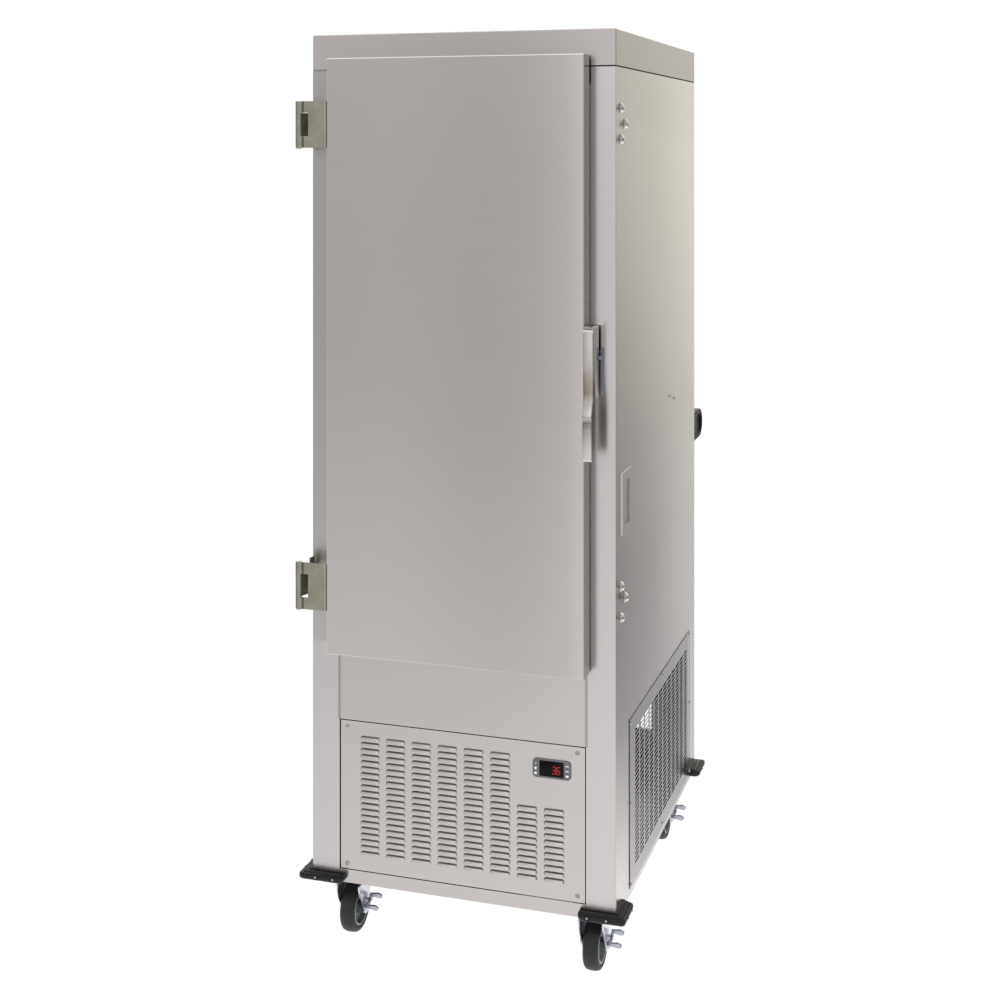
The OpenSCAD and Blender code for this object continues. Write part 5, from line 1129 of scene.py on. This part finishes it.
for row, swivel_y, hand, swivel_x in SWIVELS:
    where = row + "_" + hand
    wheel = "caster_wheel_" + where
    axle_y = swivel_y - TRAIL
    centre = (swivel_x, axle_y, AXLE_Z)
    for part, half, steps, material, stands_for in (("tyre", TYRE_HALF, 64, tyre_rubber, [wheel]),
                                                    ("hub", HUB_HALF, 48, hub_grey, [wheel]),
                                                    ("rim", RIM_HALF, 64, rim_highlight_grey, [])):
        ring = turned(half, centre, steps)
        put(part + "_" + where, ring, material, wheel, stands_for, smooth=40)

    # A dark plate just inside the left leg, which paints the shade on that leg.
    guard = bmesh.new()
    slab(guard, SHADE_PLATE_LINE, swivel_x - 0.0232, swivel_x - 0.0214, axle_y, AXLE_Z)
    leg_body = "caster_fork_" + where
    put("guard_" + where, guard, shade_plate_grey, leg_body)

    fork = bmesh.new()
    for side in (-1, 1):
        slab(fork, LEG_LINE, swivel_x + side * LEG_IN, swivel_x + side * LEG_OUT, axle_y, AXLE_Z)
        stack(fork, (swivel_x + side * LEG_OUT, axle_y, AXLE_Z), (side, 0, 0), NUT_STEPS, 6)
    skinned(fork, [[(swivel_x + x, swivel_y + y, z) for x, y in CROWN_LINE]
                   for z in (CROWN_LOW, CROWN_HIGH)])
    stack(fork, (swivel_x, swivel_y, CROWN_LOW), (0, 0, 1), RACE_STEPS)
    stack(fork, (swivel_x - AXLE_HALF, axle_y, AXLE_Z), (1, 0, 0), AXLE_STEPS, 16)
    stack(fork, (swivel_x + LEG_IN, axle_y + STUD_Y, AXLE_Z + STUD_Z), (1, 0, 0), STUD_STEPS, 20)
    put("fork_" + where, fork, zinc, leg_body, [leg_body], smooth=35)

    rocker = bmesh.new()
    slab(rocker, ROCKER_LINE, 0.0, 0.0030)
    for y0, y1 in ((-0.0150, -0.0120), (0.0120, 0.0150)):
        skinned(rocker, [[(x, y, z) for x, z in PAD_LINE] for y in (y0, y1)])
    tilt = Matrix.Rotation(math.radians(ROCKER_TILT), 4, "X")
    tilt.translation = (swivel_x + ROCKER_OUT, axle_y + STUD_Y, AXLE_Z + STUD_Z)
    bmesh.ops.transform(rocker, matrix=tilt, verts=rocker.verts)
    brake = "caster_brake_" + where
    put("brake_" + where, rocker, grey_zinc, brake, [brake], smooth=35)
dress(zinc, "caster_plates")

# Machine bay
# Behind the louvres and the grille: a black enamelled compressor with copper lines, a finned condenser,
# a zinc plated shroud with its motor and fan, and a wire guard over the rear opening.
enamel = moulded("black_enamel", (18, 18, 20), (34, 34, 37), 0.32, pitch=140.0, relief=0.08)
dress(enamel, "compressor")
fins, wire = finish("aluminium_fins")
film = wire.noise(70.0, 4.0)
shade(wire, film.blend((0.40, 0.38, 0.36, 1), (0.62, 0.60, 0.58, 1)), film * 0.2 + 0.35, metallic=0.9)
dress(fins, "condenser_coil", "evaporator_coil")
galvanised, wire = finish("galvanised_sheet")
spangle = wire.node("ShaderNodeTexVoronoi", {"Vector": wire.place(), "Scale": 120.0}, out="Color").axes()
shade(wire, spangle[0].blend((0.52, 0.53, 0.55, 1), (0.70, 0.71, 0.73, 1)), spangle[1] * 0.2 + 0.3,
      metallic=0.9)
dress(galvanised, "fan_shroud", "rear_guard")
fan_black = moulded("black_fan_plastic", (20, 20, 21), (36, 36, 38), 0.5)
dress(fan_black, "condenser_fan", "evaporator_fan")
